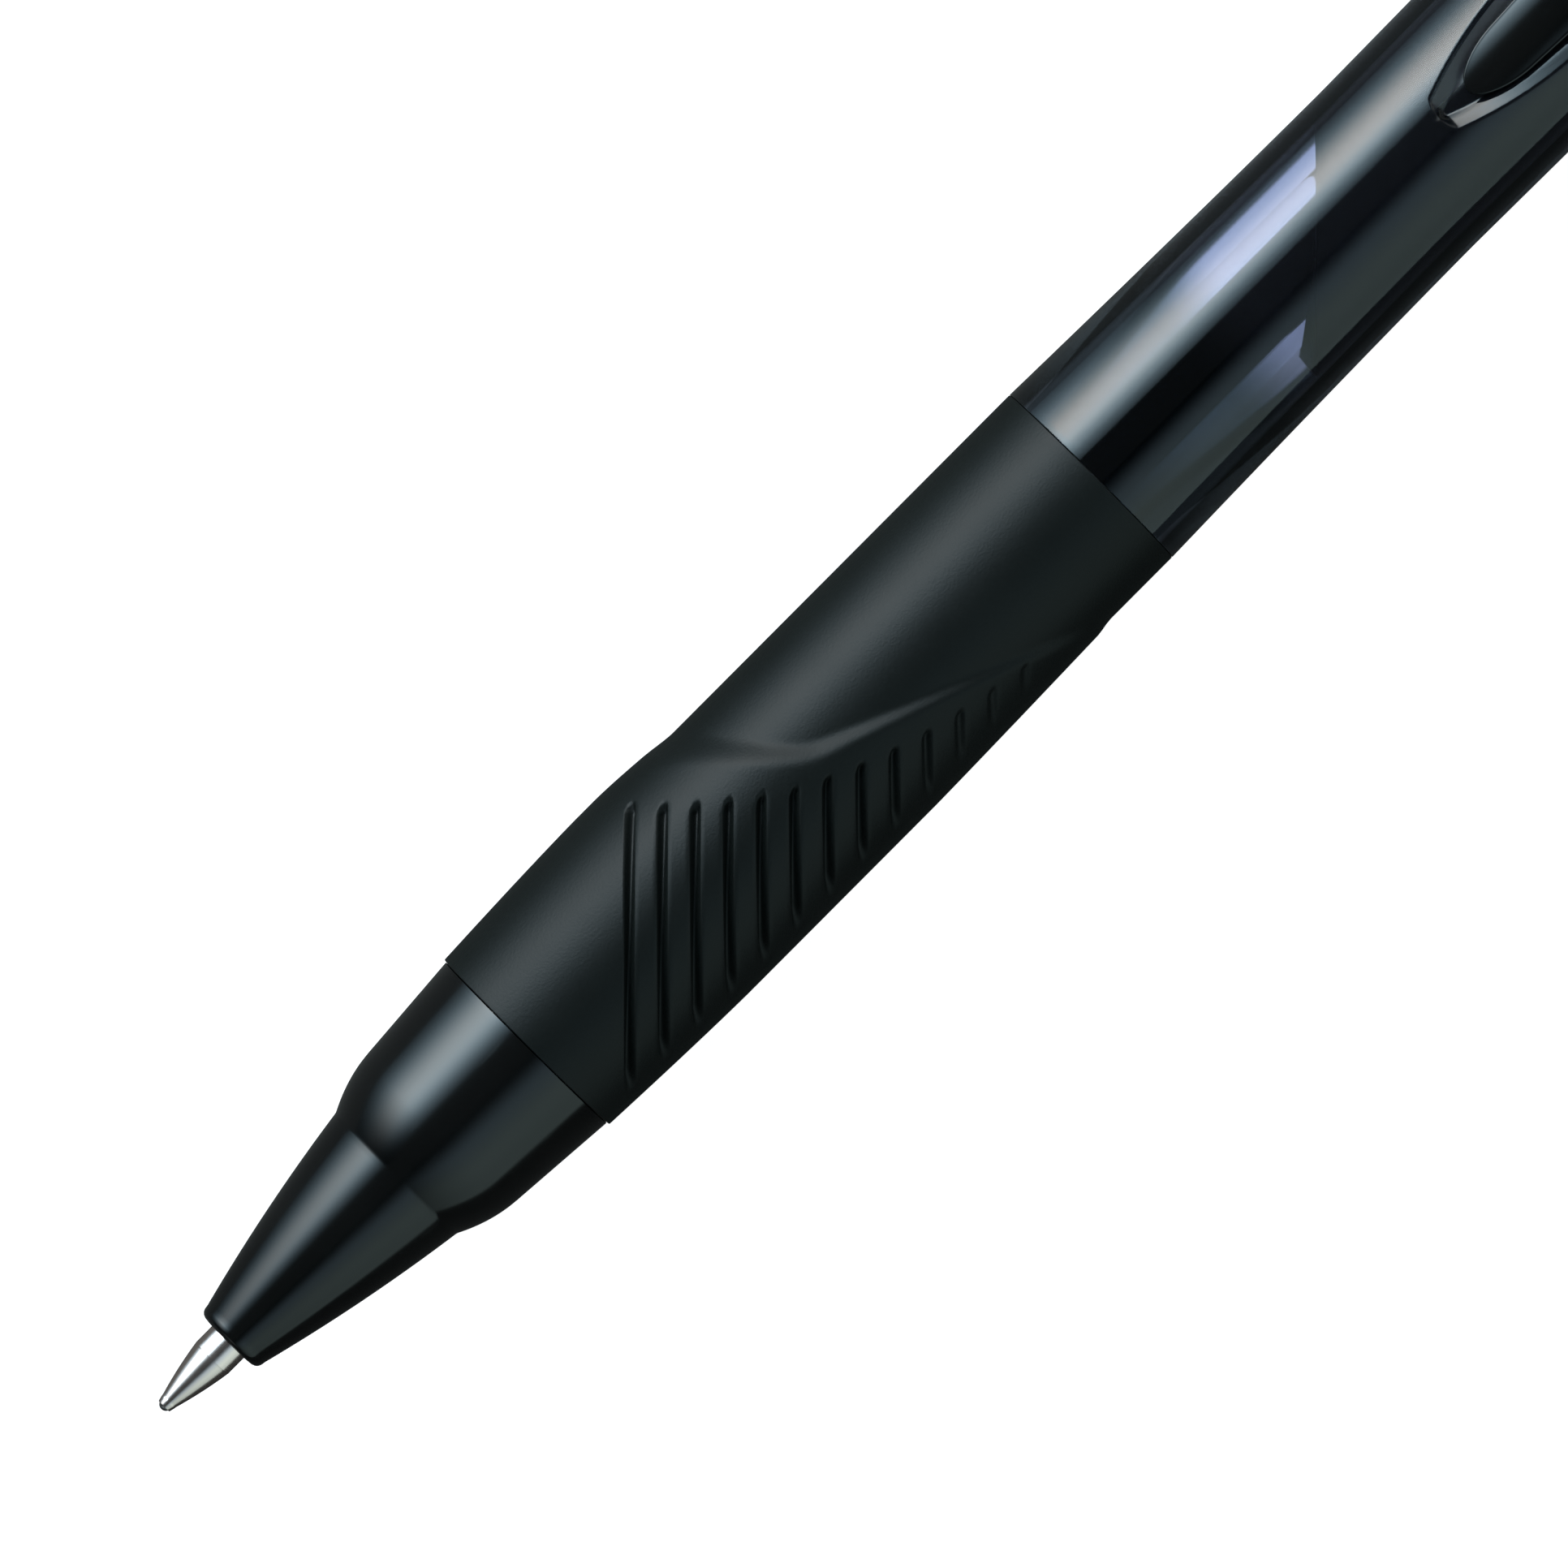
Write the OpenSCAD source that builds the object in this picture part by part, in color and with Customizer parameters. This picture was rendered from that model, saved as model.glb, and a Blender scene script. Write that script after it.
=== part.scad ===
// Retractable gel pen, lying along X with its writing tip towards -X and its clip up.
// Lengths along the pen are stations, counted from the ball's point towards the knob.
// The origin is under the middle of the pen, on the surface that the grip rests on.

/* [Lengths along the pen] */
// Metal writing tip that shows in front of the nose cone when the tip is out
tip_show = 4.9; // [4.5:0.1:5.2]
// Length of the nose cone
nose_len = 21.6; // [21:0.1:23]
// Length of the rubber grip sleeve
grip_len = 41; // [40:0.5:43]
// Length of the barrel that shows between the grip and the rear collar
barrel_len = 62.3; // [61:0.1:63]
// Length of the rear collar's head
collar_len = 6.5; // [6:0.1:8]
// Length of the knob that shows when the tip is out
knob_show = 6.5; // [5.8:0.1:9]

/* [Diameters] */
// Grip across its raised, grooved zone
grip_d = 12.6; // [12.5:0.1:13.5]
// Grip across its smooth zone
grip_smooth_d = 11.8; // [11.6:0.1:12]
// Barrel at its waist
waist_d = 11.12; // [11:0.02:11.5]
// Barrel at its two ends
barrel_end_d = 11.9; // [11.8:0.1:12.4]
// Nose cone at its front opening
nose_front_d = 4.1; // [3.9:0.1:4.5]
// Knob
knob_d = 7.6; // [7:0.1:7.8]

/* [Refill] */
// Ball
ball_d = 0.7; // [0.5:0.1:0.8]
// Metal shank of the writing tip
shank_d = 2.33; // [2.2:0.01:2.4]
// Refill tube, outside
refill_d = 6; // [5.8:0.1:6.2]
// Refill tube, inside
refill_bore_d = 4.1; // [3.8:0.1:4.3]
// Refill from the ball to the tail plug
refill_len = 111.3; // [110.5:0.1:111.5]

/* [Click mechanism] */
// Travel between tip out and tip in
stroke = 5.5; // [5:0.1:5.5]
// Ribs on the rotor and on the plunger, and slots in the cam sleeve
rib_count = 4; // [3:1:5]
// Turns of the return spring
spring_turns = 10; // [8:1:12]

/* [Clip] */
// Station of the clip's nose
clip_nose = 95; // [93:0.5:98]
// Width of the clip's arm at its root
clip_w = 5; // [4.4:0.1:5.4]
// Gap between the clip's arm and the barrel
clip_gap = 1.6; // [1.2:0.1:2.2]

/* [Grip pattern] */
// Number of slanting grooves
groove_count = 13; // [9:1:13]
// Distance between grooves along the pen
groove_pitch = 2.38; // [2.2:0.01:2.4]
// Width of a groove
groove_w = 0.45; // [0.35:0.05:0.6]
// Depth of a groove
groove_deep = 0.4; // [0.2:0.05:0.5]

/* [Hidden] */
$fn = 72;

// Fits: a piece that slides has slide_fit all round, a piece that is pressed in has push_fit
slide_fit = 0.06;
push_fit = 0.03;
// Slack between faces that meet along the pen
face_gap = 0.05;

// Stations
nose_rear = tip_show + nose_len;
grip_front = nose_rear + 0.1;
grip_rear = grip_front + grip_len;
barrel_front = grip_rear + 0.1;
barrel_rear = barrel_front + barrel_len;
collar_rear = barrel_rear + collar_len;
pen_len = collar_rear + knob_show;
axis_z = grip_d / 2;

// Nose cone: crease where its step starts, spring seat, and socket for the barrel's thread
nose_crease = nose_rear - 9.4;
crease_r = 4.39;
nose_step = nose_rear - 6.2;
step_r = 5.36;
spring_seat = tip_show + 6;
thread_front = nose_rear - 6;
thread_r = 4.6;
thread_pitch = 1.1;
thread_turns = 4;
spring_room_r = 2.75;

// Barrel: bore in front, bore behind, and the cone between them
front_bore_r = 3.6;
rear_bore_r = 4.7;
core_r = 4.9;
bore_cone_front = barrel_front + 1.3;
bore_cone_rear = barrel_front + 10.3;
waist = 90;
pocket_front = clip_nose - 2;
pocket_len = 15;
pocket_w = 4.8;
pocket_nose = 7.5;
pocket_floor = 4.95;

// Cam sleeve: slanted front edge, chamber that the rotor turns in, and lands between slots
sleeve_front = 79.3;
sleeve_slant = 1.05;
sleeve_mid = 84;
sleeve_r = rear_bore_r - push_fit;
land_r = 3.4;
slot_r = 4.25;
chamber_front = 103;
land_front = 115.1;
sleeve_rear = barrel_rear - 4;
rib_w = 1;
rib_len = 2;
slot_w = 1.3;
rib_r = slot_r - 0.12;

// Rotor and plunger
cam_r = land_r - 0.08;
rotor_front = refill_len + face_gap;
rotor_rear = refill_len + 6.9;
rotor_rib = 113;
tooth_deep = 1.1;
tooth_w = 2.2;
plunger_front = rotor_rear + face_gap;
// The plunger's ribs meet the rear collar when the tip is in
plunger_rib = sleeve_rear - stroke - rib_len;
stem_r = 2.55;
knob_front = barrel_rear - 2;
stem_rear = knob_front + 10;

// Refill
tip_cone = 3.5;
tip_front = 0.2;
holder_front = tip_show + 7.7;
tip_rear = holder_front + 3.4;
flange_front = holder_front + 9.4;
tube_front = flange_front + 1.5;
holder_rear = tube_front + 5.5;
holder_r = 1.9;
ink_rear = 92;
follower_rear = 100;
tube_rear = refill_len - 0.8;
valve_r = 0.75;

// Clip hinge
hinge_station = barrel_rear + 2.6;
hinge_up = 6.55;
knuckle_r = 1.25;
cheek_w = 1;
clip_thick = 1.25;

// The pen's own frame: local Z runs along the pen from the ball's point
module along_pen() translate([-pen_len / 2, 0, axis_z]) rotate([0, 90, 0]) children();
// A solid of revolution from [radius, station] points
module turned(profile) along_pen() rotate_extrude() polygon(profile);
// A rod between two stations
module rod(r, from, to) along_pen() translate([0, 0, from]) cylinder(r = r, h = to - from);
// An outline in [station, sideways] points, carried right through the pen's height
module seen_from_above(low = -8, high = 8)
    translate([-pen_len / 2, 0, axis_z + low]) linear_extrude(high - low) children();
// Copies turned evenly about the pen's axis
module around(count)
    for (i = [0:count - 1])
        translate([0, 0, axis_z]) rotate([360 * i / count, 0, 0]) translate([0, 0, -axis_z]) children();

function smooth(t) = let (c = min(1, max(0, t))) c * c * (3 - 2 * c);
// Runs from a to b as t runs from 0 to 1, swelling by bulge on the way
function bulged(a, b, bulge, t) = a + (b - a) * ((1 + bulge) * t - bulge * t * t);
function bulged_line(s0, r0, s1, r1, bulge, steps = 8) =
    [for (i = [0:steps]) [bulged(r0, r1, bulge, i / steps), s0 + (s1 - s0) * i / steps]];
// Quarter round between two faces, as [radius, station] points
function rounded(r, s, fillet, from, steps = 5) =
    [for (i = [0:steps]) let (a = from + 90 * i / steps) [r + fillet * cos(a), s + fillet * sin(a)]];

// Grip: radius of the raised zone, and of the base that the grooves reach down to
grip_crest = grip_front + 9.9;
grip_fall = grip_front + 23.4;
function raised_r(s) = s < grip_crest
    ? grip_d / 2 - 0.32 * pow((grip_crest - s) / 9.9, 1.4)
    : s < grip_fall
        ? grip_d / 2
        : grip_d / 2 - (grip_d - grip_smooth_d) / 2 * pow((s - grip_fall) / (grip_rear - grip_fall), 1.2);
function base_r(s) = s < grip_crest
    ? min(grip_smooth_d / 2, raised_r(s) - groove_deep)
    : grip_smooth_d / 2;
// Sideways place of the ridge that ends the raised zone: an S that sweeps from one side to the other
ridge_start = grip_front + 14.4;
ridge_end = grip_front + 35.9;
function ridge_y(s) = 4 * (1 - smooth((s - ridge_start) / 7)) - 0.38 * (s - ridge_start - 5.9);
// The grooves end on a curve a little in front of the ridge
groove_first = grip_front + 12.2;
groove_stop = grip_smooth_d / 2 - 0.25;
function groove_end_y(s) = 10.5 * exp(-(s - groove_first) / 9.14) - 6.15;
function groove_end_rise(s) = -10.5 / 9.14 * exp(-(s - groove_first) / 9.14);
// Station where the groove through s - y = c meets that curve, by Newton's method
function groove_end(c, s, rounds = 6) = rounds == 0
    ? s
    : groove_end(c, s - (s - groove_end_y(s) - c) / (1 - groove_end_rise(s)), rounds - 1);

// Radius of the barrel: a waist between two fuller ends
function barrel_r(s) = s < waist
    ? waist_d / 2 + (barrel_end_d - waist_d) / 2 * 0.87 * pow((waist - s) / (waist - barrel_front), 1.5)
    : waist_d / 2 + (barrel_end_d - waist_d) / 2 * (s - waist) / (barrel_rear - waist);

// Half of a boat-shaped outline that starts with an elliptical nose
function boat_half(width, nose, steps = 12) =
    [for (i = [0:steps]) let (a = 90 * i / steps) [nose * (1 - cos(a)), width / 2 * sin(a)]];
module boat(length, width, nose) {
    side = boat_half(width, nose);
    polygon(concat(
        side,
        [[length, width / 2], [length, -width / 2]],
        [for (i = [len(side) - 1:-1:1]) [side[i][0], -side[i][1]]]
    ));
}

// A round wire wound into a coil, its first and last turns closed up
function coil_rise(turn, turns, length, wire) = turn < 1
    ? turn * wire * 1.1
    : turn > turns - 1
        ? length - (turns - turn) * wire * 1.1
        : wire * 1.1 + (turn - 1) * (length - 2.2 * wire) / (turns - 2);
module coil(radius, wire, length, turns, steps = 18, sides = 8) {
    rings = turns * steps;
    points = [
        for (i = [0:rings])
            let (a = 360 * i / steps, up = wire / 2 + coil_rise(i / steps, turns, length - wire, wire))
                for (j = [0:sides - 1])
                    let (b = 360 * j / sides, r = radius + wire / 2 * cos(b))
                        [r * cos(a), r * sin(a), up + wire / 2 * sin(b)]
    ];
    walls = [
        for (i = [0:rings - 1], j = [0:sides - 1], half = [0, 1])
            let (k = (j + 1) % sides, here = i * sides, next = here + sides)
                half == 0 ? [here + j, here + k, next + k] : [here + j, next + k, next + j]
    ];
    start_cap = [for (j = [1:sides - 2]) [0, j + 1, j]];
    end_cap = [for (j = [1:sides - 2]) [rings * sides, rings * sides + j, rings * sides + j + 1]];
    polyhedron(points, concat(walls, start_cap, end_cap), convexity = 8);
}

// Nose cone: moulded black plastic that screws onto the barrel and holds the return spring
module nose_cone() {
    lip = 0.35;
    mouth_r = shank_d / 2 + slide_fit + 0.03;
    rear_r = nose_rear_r();
    color([0.06, 0.06, 0.07]) turned(concat(
        [[mouth_r, tip_show]],
        rounded(nose_front_d / 2 - lip, tip_show + lip, lip, -90),
        bulged_line(tip_show + lip, nose_front_d / 2, nose_crease, crease_r, 0.3, 10),
        bulged_line(nose_crease, crease_r, nose_step, step_r, 0.7, 6),
        [
            [rear_r, nose_rear - 0.15],
            [rear_r - 0.15, nose_rear],
            [thread_r + push_fit, nose_rear],
            [thread_r + push_fit, thread_front],
            [spring_room_r, thread_front],
            [spring_room_r, spring_seat],
            [mouth_r, spring_seat]
        ]
    ));
}
function nose_rear_r() = raised_r(grip_front) - 0.15;

// Slots that cut the grooves, seen from above: round at one end, and stopping just short of the
// grip's side at the other, so that the side stays whole
module grooves() seen_from_above()
    for (i = [0:groove_count - 1])
        let (s = groove_end(groove_first - groove_end_y(groove_first) + i * groove_pitch, groove_first))
            let (run = (groove_end_y(s) + groove_stop) * sqrt(2))
                translate([s, groove_end_y(s)]) {
                    circle(d = groove_w, $fn = 24);
                    rotate(225) translate([0, -groove_w / 2]) square([run, groove_w]);
                }

// Grip sleeve: black rubber, a smooth base with a raised, grooved zone that ends in the ridge
module grip_sleeve() {
    steps = 16;
    edge = 0.15;
    side = 8;
    color([0.13, 0.14, 0.14]) difference() {
        union() {
            intersection() {
                difference() {
                    turned(concat(
                        [[0, grip_front], [raised_r(grip_front) - edge, grip_front]],
                        [for (i = [0:steps]) let (s = grip_front + edge + (grip_len - 2 * edge) * i / steps)
                            [raised_r(s), s]],
                        [[raised_r(grip_rear) - edge, grip_rear], [0, grip_rear]]
                    ));
                    grooves();
                }
                seen_from_above() polygon(concat(
                    [[grip_front - 1, -side], [grip_front - 1, side], [ridge_start, side]],
                    [for (i = [0:steps]) let (s = ridge_start + (ridge_end - ridge_start) * i / steps)
                        [s, ridge_y(s)]],
                    [[ridge_end, -side]]
                ));
            }
            turned(concat(
                [[0, grip_front + edge]],
                [for (i = [0:steps / 2]) let (s = grip_front + edge + (grip_crest - grip_front) * 2 * i / steps)
                    [base_r(s), s]],
                [
                    [grip_smooth_d / 2, grip_rear - edge],
                    [grip_smooth_d / 2 - edge, grip_rear],
                    [0, grip_rear]
                ]
            ));
        }
        rod(core_r + push_fit, grip_front - 1, grip_rear + 1);
    }
}

// Barrel: clear smoke plastic, with a threaded spigot in front, a core under the grip and a
// pocket on top that the clip's nose dips into
module barrel() {
    steps = 10;
    spigot_front = thread_front + face_gap;
    color([0.14, 0.15, 0.2, 0.6]) difference() {
        turned(concat(
            [[front_bore_r, spigot_front], [thread_r - 0.3, spigot_front]],
            [for (i = [0:thread_turns - 1]) for (p = [0:2])
                [thread_r - (p == 0 ? 0.35 : 0), spigot_front + 0.5 + (i + p * 0.35) * thread_pitch]],
            [
                [thread_r - 0.3, nose_rear - 0.4],
                [thread_r - 0.3, nose_rear + face_gap],
                [core_r, nose_rear + face_gap],
                [core_r, barrel_front]
            ],
            [for (i = [0:steps]) let (s = barrel_front + (waist - barrel_front) * i / steps) [barrel_r(s), s]],
            [
                [barrel_end_d / 2, barrel_rear],
                [rear_bore_r, barrel_rear],
                [rear_bore_r, bore_cone_rear],
                [front_bore_r, bore_cone_front]
            ]
        ));
        seen_from_above(pocket_floor, 8) translate([pocket_front, 0]) boat(pocket_len, pocket_w, pocket_nose);
    }
}

// Cam sleeve: black plastic liner with a slanted front edge; its lands latch the rotor
module cam_sleeve() {
    color([0.03, 0.03, 0.035]) difference() {
        rod(sleeve_r, sleeve_front, sleeve_rear);
        seen_from_above() polygon([
            [sleeve_front - 1, -8],
            [sleeve_front, -8],
            [sleeve_front, (sleeve_front - sleeve_mid) / sleeve_slant],
            [sleeve_mid + 6 * sleeve_slant, 6],
            [sleeve_front - 1, 6]
        ]);
        rod(land_r, sleeve_front - 1, sleeve_rear + 1);
        rod(slot_r, chamber_front, land_front);
        around(rib_count) translate([land_front - 0.5 - pen_len / 2, -slot_w / 2, axis_z])
            cube([sleeve_rear - land_front + 1.5, slot_w, slot_r]);
        around(rib_count) translate([land_front - pen_len / 2, 0, axis_z]) rotate([45, 0, 0])
            land_slope();
    }
}
// Wedge that slants the front of one land, so that it turns the rotor's rib
module land_slope()
    translate([0, 0, land_r - 0.6]) linear_extrude(slot_r - land_r + 0.6)
        polygon([[-0.5, -2], [1.1, -2], [-0.1, 2], [-0.5, 2]]);

// Rear collar: black plastic ring pressed into the barrel; it guides the knob and carries the clip
module rear_collar() {
    cheek_out = clip_w / 2 + cheek_w;
    color([0.06, 0.06, 0.07]) difference() {
        union() {
            turned(concat(
                [
                    [knob_d / 2 + slide_fit, sleeve_rear + face_gap],
                    [sleeve_r, sleeve_rear + face_gap],
                    [sleeve_r, barrel_rear + face_gap],
                    [barrel_end_d / 2, barrel_rear + face_gap]
                ],
                bulged_line(barrel_rear + 0.5, barrel_end_d / 2, collar_rear - 0.6, barrel_end_d / 2 - 0.7, -1, 6),
                rounded(barrel_end_d / 2 - 1.3, collar_rear - 0.6, 0.6, 0),
                [[knob_d / 2 + slide_fit, collar_rear]]
            ));
            difference() {
                saddle(cheek_out);
                rod(knob_d / 2 + 1, barrel_rear - 1, collar_rear + 1);
            }
        }
        // room for the clip's knuckle and its arm between the cheeks
        hinge_place() rotate([90, 0, 0]) translate([0, 0, -clip_w / 2 - 0.1])
            cylinder(r = knuckle_r + 0.15, h = clip_w + 0.2);
        translate([barrel_rear - 1 - pen_len / 2, -clip_w / 2 - 0.1, axis_z + hinge_up - knuckle_r - 0.15])
            cube([hinge_station - barrel_rear + 1, clip_w + 0.2, 6]);
        hinge_place() translate([-0.05, -clip_w / 2 - 0.1, 0]) cube([knuckle_r + 0.2, clip_w + 0.2, 4]);
    }
}
// Block on the collar that the two cheeks are part of, seen from the side
module saddle(half_width)
    translate([barrel_rear + 0.1 - pen_len / 2, half_width, axis_z]) rotate([90, 0, 0])
        linear_extrude(2 * half_width) polygon([
            [0, 4],
            [0, hinge_up],
            [1.4, hinge_up + 1.3],
            [4.6, hinge_up + 1.3],
            [collar_len - 0.9, hinge_up - 1.2],
            [collar_len - 0.9, 4]
        ]);
module hinge_place() translate([hinge_station - pen_len / 2, 0, axis_z + hinge_up]) children();

// Clip: black plastic, an arm on a knuckle; its thin end lies in the barrel's pocket
module clip() {
    under = barrel_end_d / 2 + clip_gap;
    reach = hinge_station - clip_nose;
    top = under + clip_thick;
    // the arm's end lies level with the barrel's surface, then climbs on an S curve
    nose_thick = 0.5;
    nose_top = pocket_floor + 0.65;
    level_len = 3.5;
    climb = 17.5;
    steps = 10;
    color([0.06, 0.06, 0.07]) intersection() {
        union() {
            translate([clip_nose - pen_len / 2, clip_w / 2, axis_z]) rotate([90, 0, 0]) linear_extrude(clip_w)
                polygon(concat(
                    [[reach, under - 1.2], [reach - 3.4, under]],
                    [for (i = [steps:-1:0]) let (a = climb * i / steps)
                        [level_len + a, nose_top + (top - nose_top) * smooth(a / climb)
                            - nose_thick - (clip_thick - nose_thick) * smooth(a / climb)]],
                    [for (i = [0:4]) let (a = 270 - 180 * i / 4)
                        [nose_thick / 2 * (1 + cos(a)), nose_top + nose_thick / 2 * (sin(a) - 1)]],
                    [for (i = [0:steps]) let (a = climb * i / steps)
                        [level_len + a, nose_top + (top - nose_top) * smooth(a / climb)]],
                    [[reach - 3, top], [reach, hinge_up + knuckle_r]]
                ));
            hinge_place() rotate([90, 0, 0]) translate([0, 0, -clip_w / 2]) cylinder(r = knuckle_r, h = clip_w);
        }
        seen_from_above(0, 12) polygon(concat(
            [for (i = [0:10]) let (a = 90 * i / 10) [clip_nose + 4.5 * (1 - cos(a)), 1.65 * sin(a)]],
            [[hinge_station - 8, clip_w / 2], [hinge_station + 2, clip_w / 2]],
            [[hinge_station + 2, -clip_w / 2], [hinge_station - 8, -clip_w / 2]],
            [for (i = [10:-1:1]) let (a = 90 * i / 10) [clip_nose + 4.5 * (1 - cos(a)), -1.65 * sin(a)]]
        ));
    }
}

// Knob: black plastic button, hollow at the front for the plunger's stem
module knob() color([0.06, 0.06, 0.07]) turned(concat(
    [
        [stem_r + push_fit, knob_front],
        [knob_d / 2 - 0.2, knob_front],
        [knob_d / 2, knob_front + 0.2],
        [knob_d / 2, pen_len - 1.2]
    ],
    bulged_line(pen_len - 1.2, knob_d / 2, pen_len - 0.35, knob_d / 2 - 0.5, -0.8, 5),
    [[2.8, pen_len], [0, pen_len], [0, stem_rear + 0.1], [stem_r + push_fit, stem_rear + 0.1]]
));

// Ribs that stand out of a cam body between two stations
module ribs(from, to)
    around(rib_count) translate([from - pen_len / 2, -rib_w / 2, axis_z]) cube([to - from, rib_w, rib_r]);
// Roof-shaped bars across the axis: the notches of one crown, or the teeth of the other
module roofs(station, width, deep)
    for (a = [0, 90])
        translate([station - pen_len / 2, 0, axis_z]) rotate([a, 0, 0]) translate([0, 5, 0]) rotate([90, 0, 0])
            linear_extrude(10) polygon([[0.4, width / 2], [-deep, 0], [0.4, -width / 2]]);

// Plunger: white plastic push cam, pressed into the knob, with ribs that keep it from turning
module plunger() color([0.9, 0.9, 0.88]) difference() {
    union() {
        intersection() {
            rod(cam_r, plunger_front - 2, plunger_front + 0.4);
            roofs(plunger_front, tooth_w - 0.1, tooth_deep - 0.1);
        }
        rod(cam_r, plunger_front, knob_front - face_gap);
        rod(stem_r, knob_front - 1, stem_rear);
        intersection() {
            ribs(plunger_rib, plunger_rib + rib_len);
            rod(rib_r, plunger_rib, plunger_rib + rib_len);
        }
    }
    rod(1.5, plunger_front - 2, stem_rear - 1.5);
}

// Rotor: white plastic turning cam between the plunger and the refill
module rotor() color([0.9, 0.9, 0.88]) difference() {
    union() {
        rod(2.6, rotor_front, rotor_rib + 0.1);
        rod(cam_r, rotor_rib, rotor_rear);
        intersection() {
            ribs(rotor_rib, land_front - 0.1);
            rod(rib_r, rotor_rib, land_front);
        }
    }
    roofs(rotor_rear, tooth_w, tooth_deep);
    rod(1.5, rotor_front + 2, rotor_rear + 1);
}

// Return spring: steel wire, from the seat in the nose cone to the tip holder's flange
module return_spring() color([0.75, 0.75, 0.76]) along_pen()
    translate([0, 0, spring_seat + 0.02]) coil(2.33, 0.4, flange_front - spring_seat - 0.04, spring_turns);

// Refill tube: clear plastic
module refill_tube() color([0.85, 0.87, 0.9, 0.5]) difference() {
    rod(refill_d / 2, tube_front, tube_rear);
    rod(refill_bore_d / 2, tube_front - 1, tube_rear + 1);
}

// Tail plug: closes the refill, with a vent for air
module refill_tail_plug() color([0.85, 0.85, 0.85]) difference() {
    union() {
        rod(refill_bore_d / 2 - push_fit, tube_rear - 2, tube_rear + 0.1);
        rod(refill_d / 2 - 0.05, tube_rear + 0.01, refill_len);
    }
    rod(0.4, tube_rear - 3, refill_len + 1);
}

// Ink column
module ink() color([0.02, 0.02, 0.03]) rod(refill_bore_d / 2 - 0.01, holder_rear + 0.02, ink_rear);

// Follower: clear grease that seals the ink from the air
module ink_follower() color([0.85, 0.8, 0.6, 0.6]) difference() {
    rod(refill_bore_d / 2 - 0.01, ink_rear + 0.02, follower_rear);
    rod(1.12, ink_rear + 1.48, ink_rear + 6.52);
}

// Float: plastic rod in the grease that steadies it
module follower_float() color([0.9, 0.9, 0.9]) rod(1.1, ink_rear + 1.5, ink_rear + 6.5);

// Tip holder: plastic nozzle that joins the metal tip to the tube, with the check valve inside
module tip_holder() color([0.92, 0.92, 0.9]) turned([
    [1 + push_fit, holder_front],
    [holder_r - 0.15, holder_front],
    [holder_r, holder_front + 0.8],
    [holder_r, flange_front],
    [refill_d / 2 - 0.05, flange_front],
    [refill_d / 2 - 0.05, tube_front - 0.02],
    [refill_bore_d / 2 - push_fit, tube_front - 0.02],
    [refill_bore_d / 2 - push_fit, holder_rear],
    [0.5, holder_rear],
    [0.5, tube_front + 3.2],
    [valve_r + 0.25, tube_front + 2.6],
    [valve_r + 0.25, flange_front],
    [0.6, flange_front - 0.6],
    [0.6, tip_rear + 0.3],
    [1 + push_fit, tip_rear + 0.3]
]);

// Valve ball: steel, stops the ink from running back
module valve_ball() color([0.7, 0.7, 0.72]) along_pen() translate([0, 0, flange_front + 1.6]) sphere(r = valve_r);

// Writing tip: turned steel, a rounded cone on a straight shank, with the ball's socket in its end
module writing_tip() color([0.78, 0.79, 0.8]) difference() {
    turned(concat(
        [[0, tip_front]],
        bulged_line(tip_front, ball_d / 2 + 0.05, tip_front + tip_cone, shank_d / 2, 0.35, 6),
        [
            [shank_d / 2, holder_front - 0.02],
            [1, holder_front - 0.02],
            [1, tip_rear],
            [0, tip_rear]
        ]
    ));
    along_pen() translate([0, 0, ball_d / 2]) sphere(r = ball_d / 2 + 0.015);
    rod(0.22, 0, 2.5);
    rod(0.62, 2.2, tip_rear + 1);
}

// Ball spring: fine steel wire behind the ball that seals the tip when it isn't writing
module ball_spring() color([0.75, 0.75, 0.76]) along_pen()
    translate([0, 0, 2.25]) coil(0.45, 0.16, tip_rear - 2.6, 16, 12, 6);

// Ball: tungsten carbide, free to roll in its socket
module ball() color([0.6, 0.6, 0.62]) along_pen() translate([0, 0, ball_d / 2]) sphere(r = ball_d / 2);

nose_cone();
grip_sleeve();
barrel();
cam_sleeve();
rear_collar();
clip();
knob();
plunger();
rotor();
return_spring();
refill_tube();
refill_tail_plug();
ink();
ink_follower();
follower_float();
tip_holder();
valve_ball();
writing_tip();
ball_spring();
ball();
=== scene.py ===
"""Looks of a retractable gel pen, built piece by piece around its CAD frame."""

import math

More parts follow.
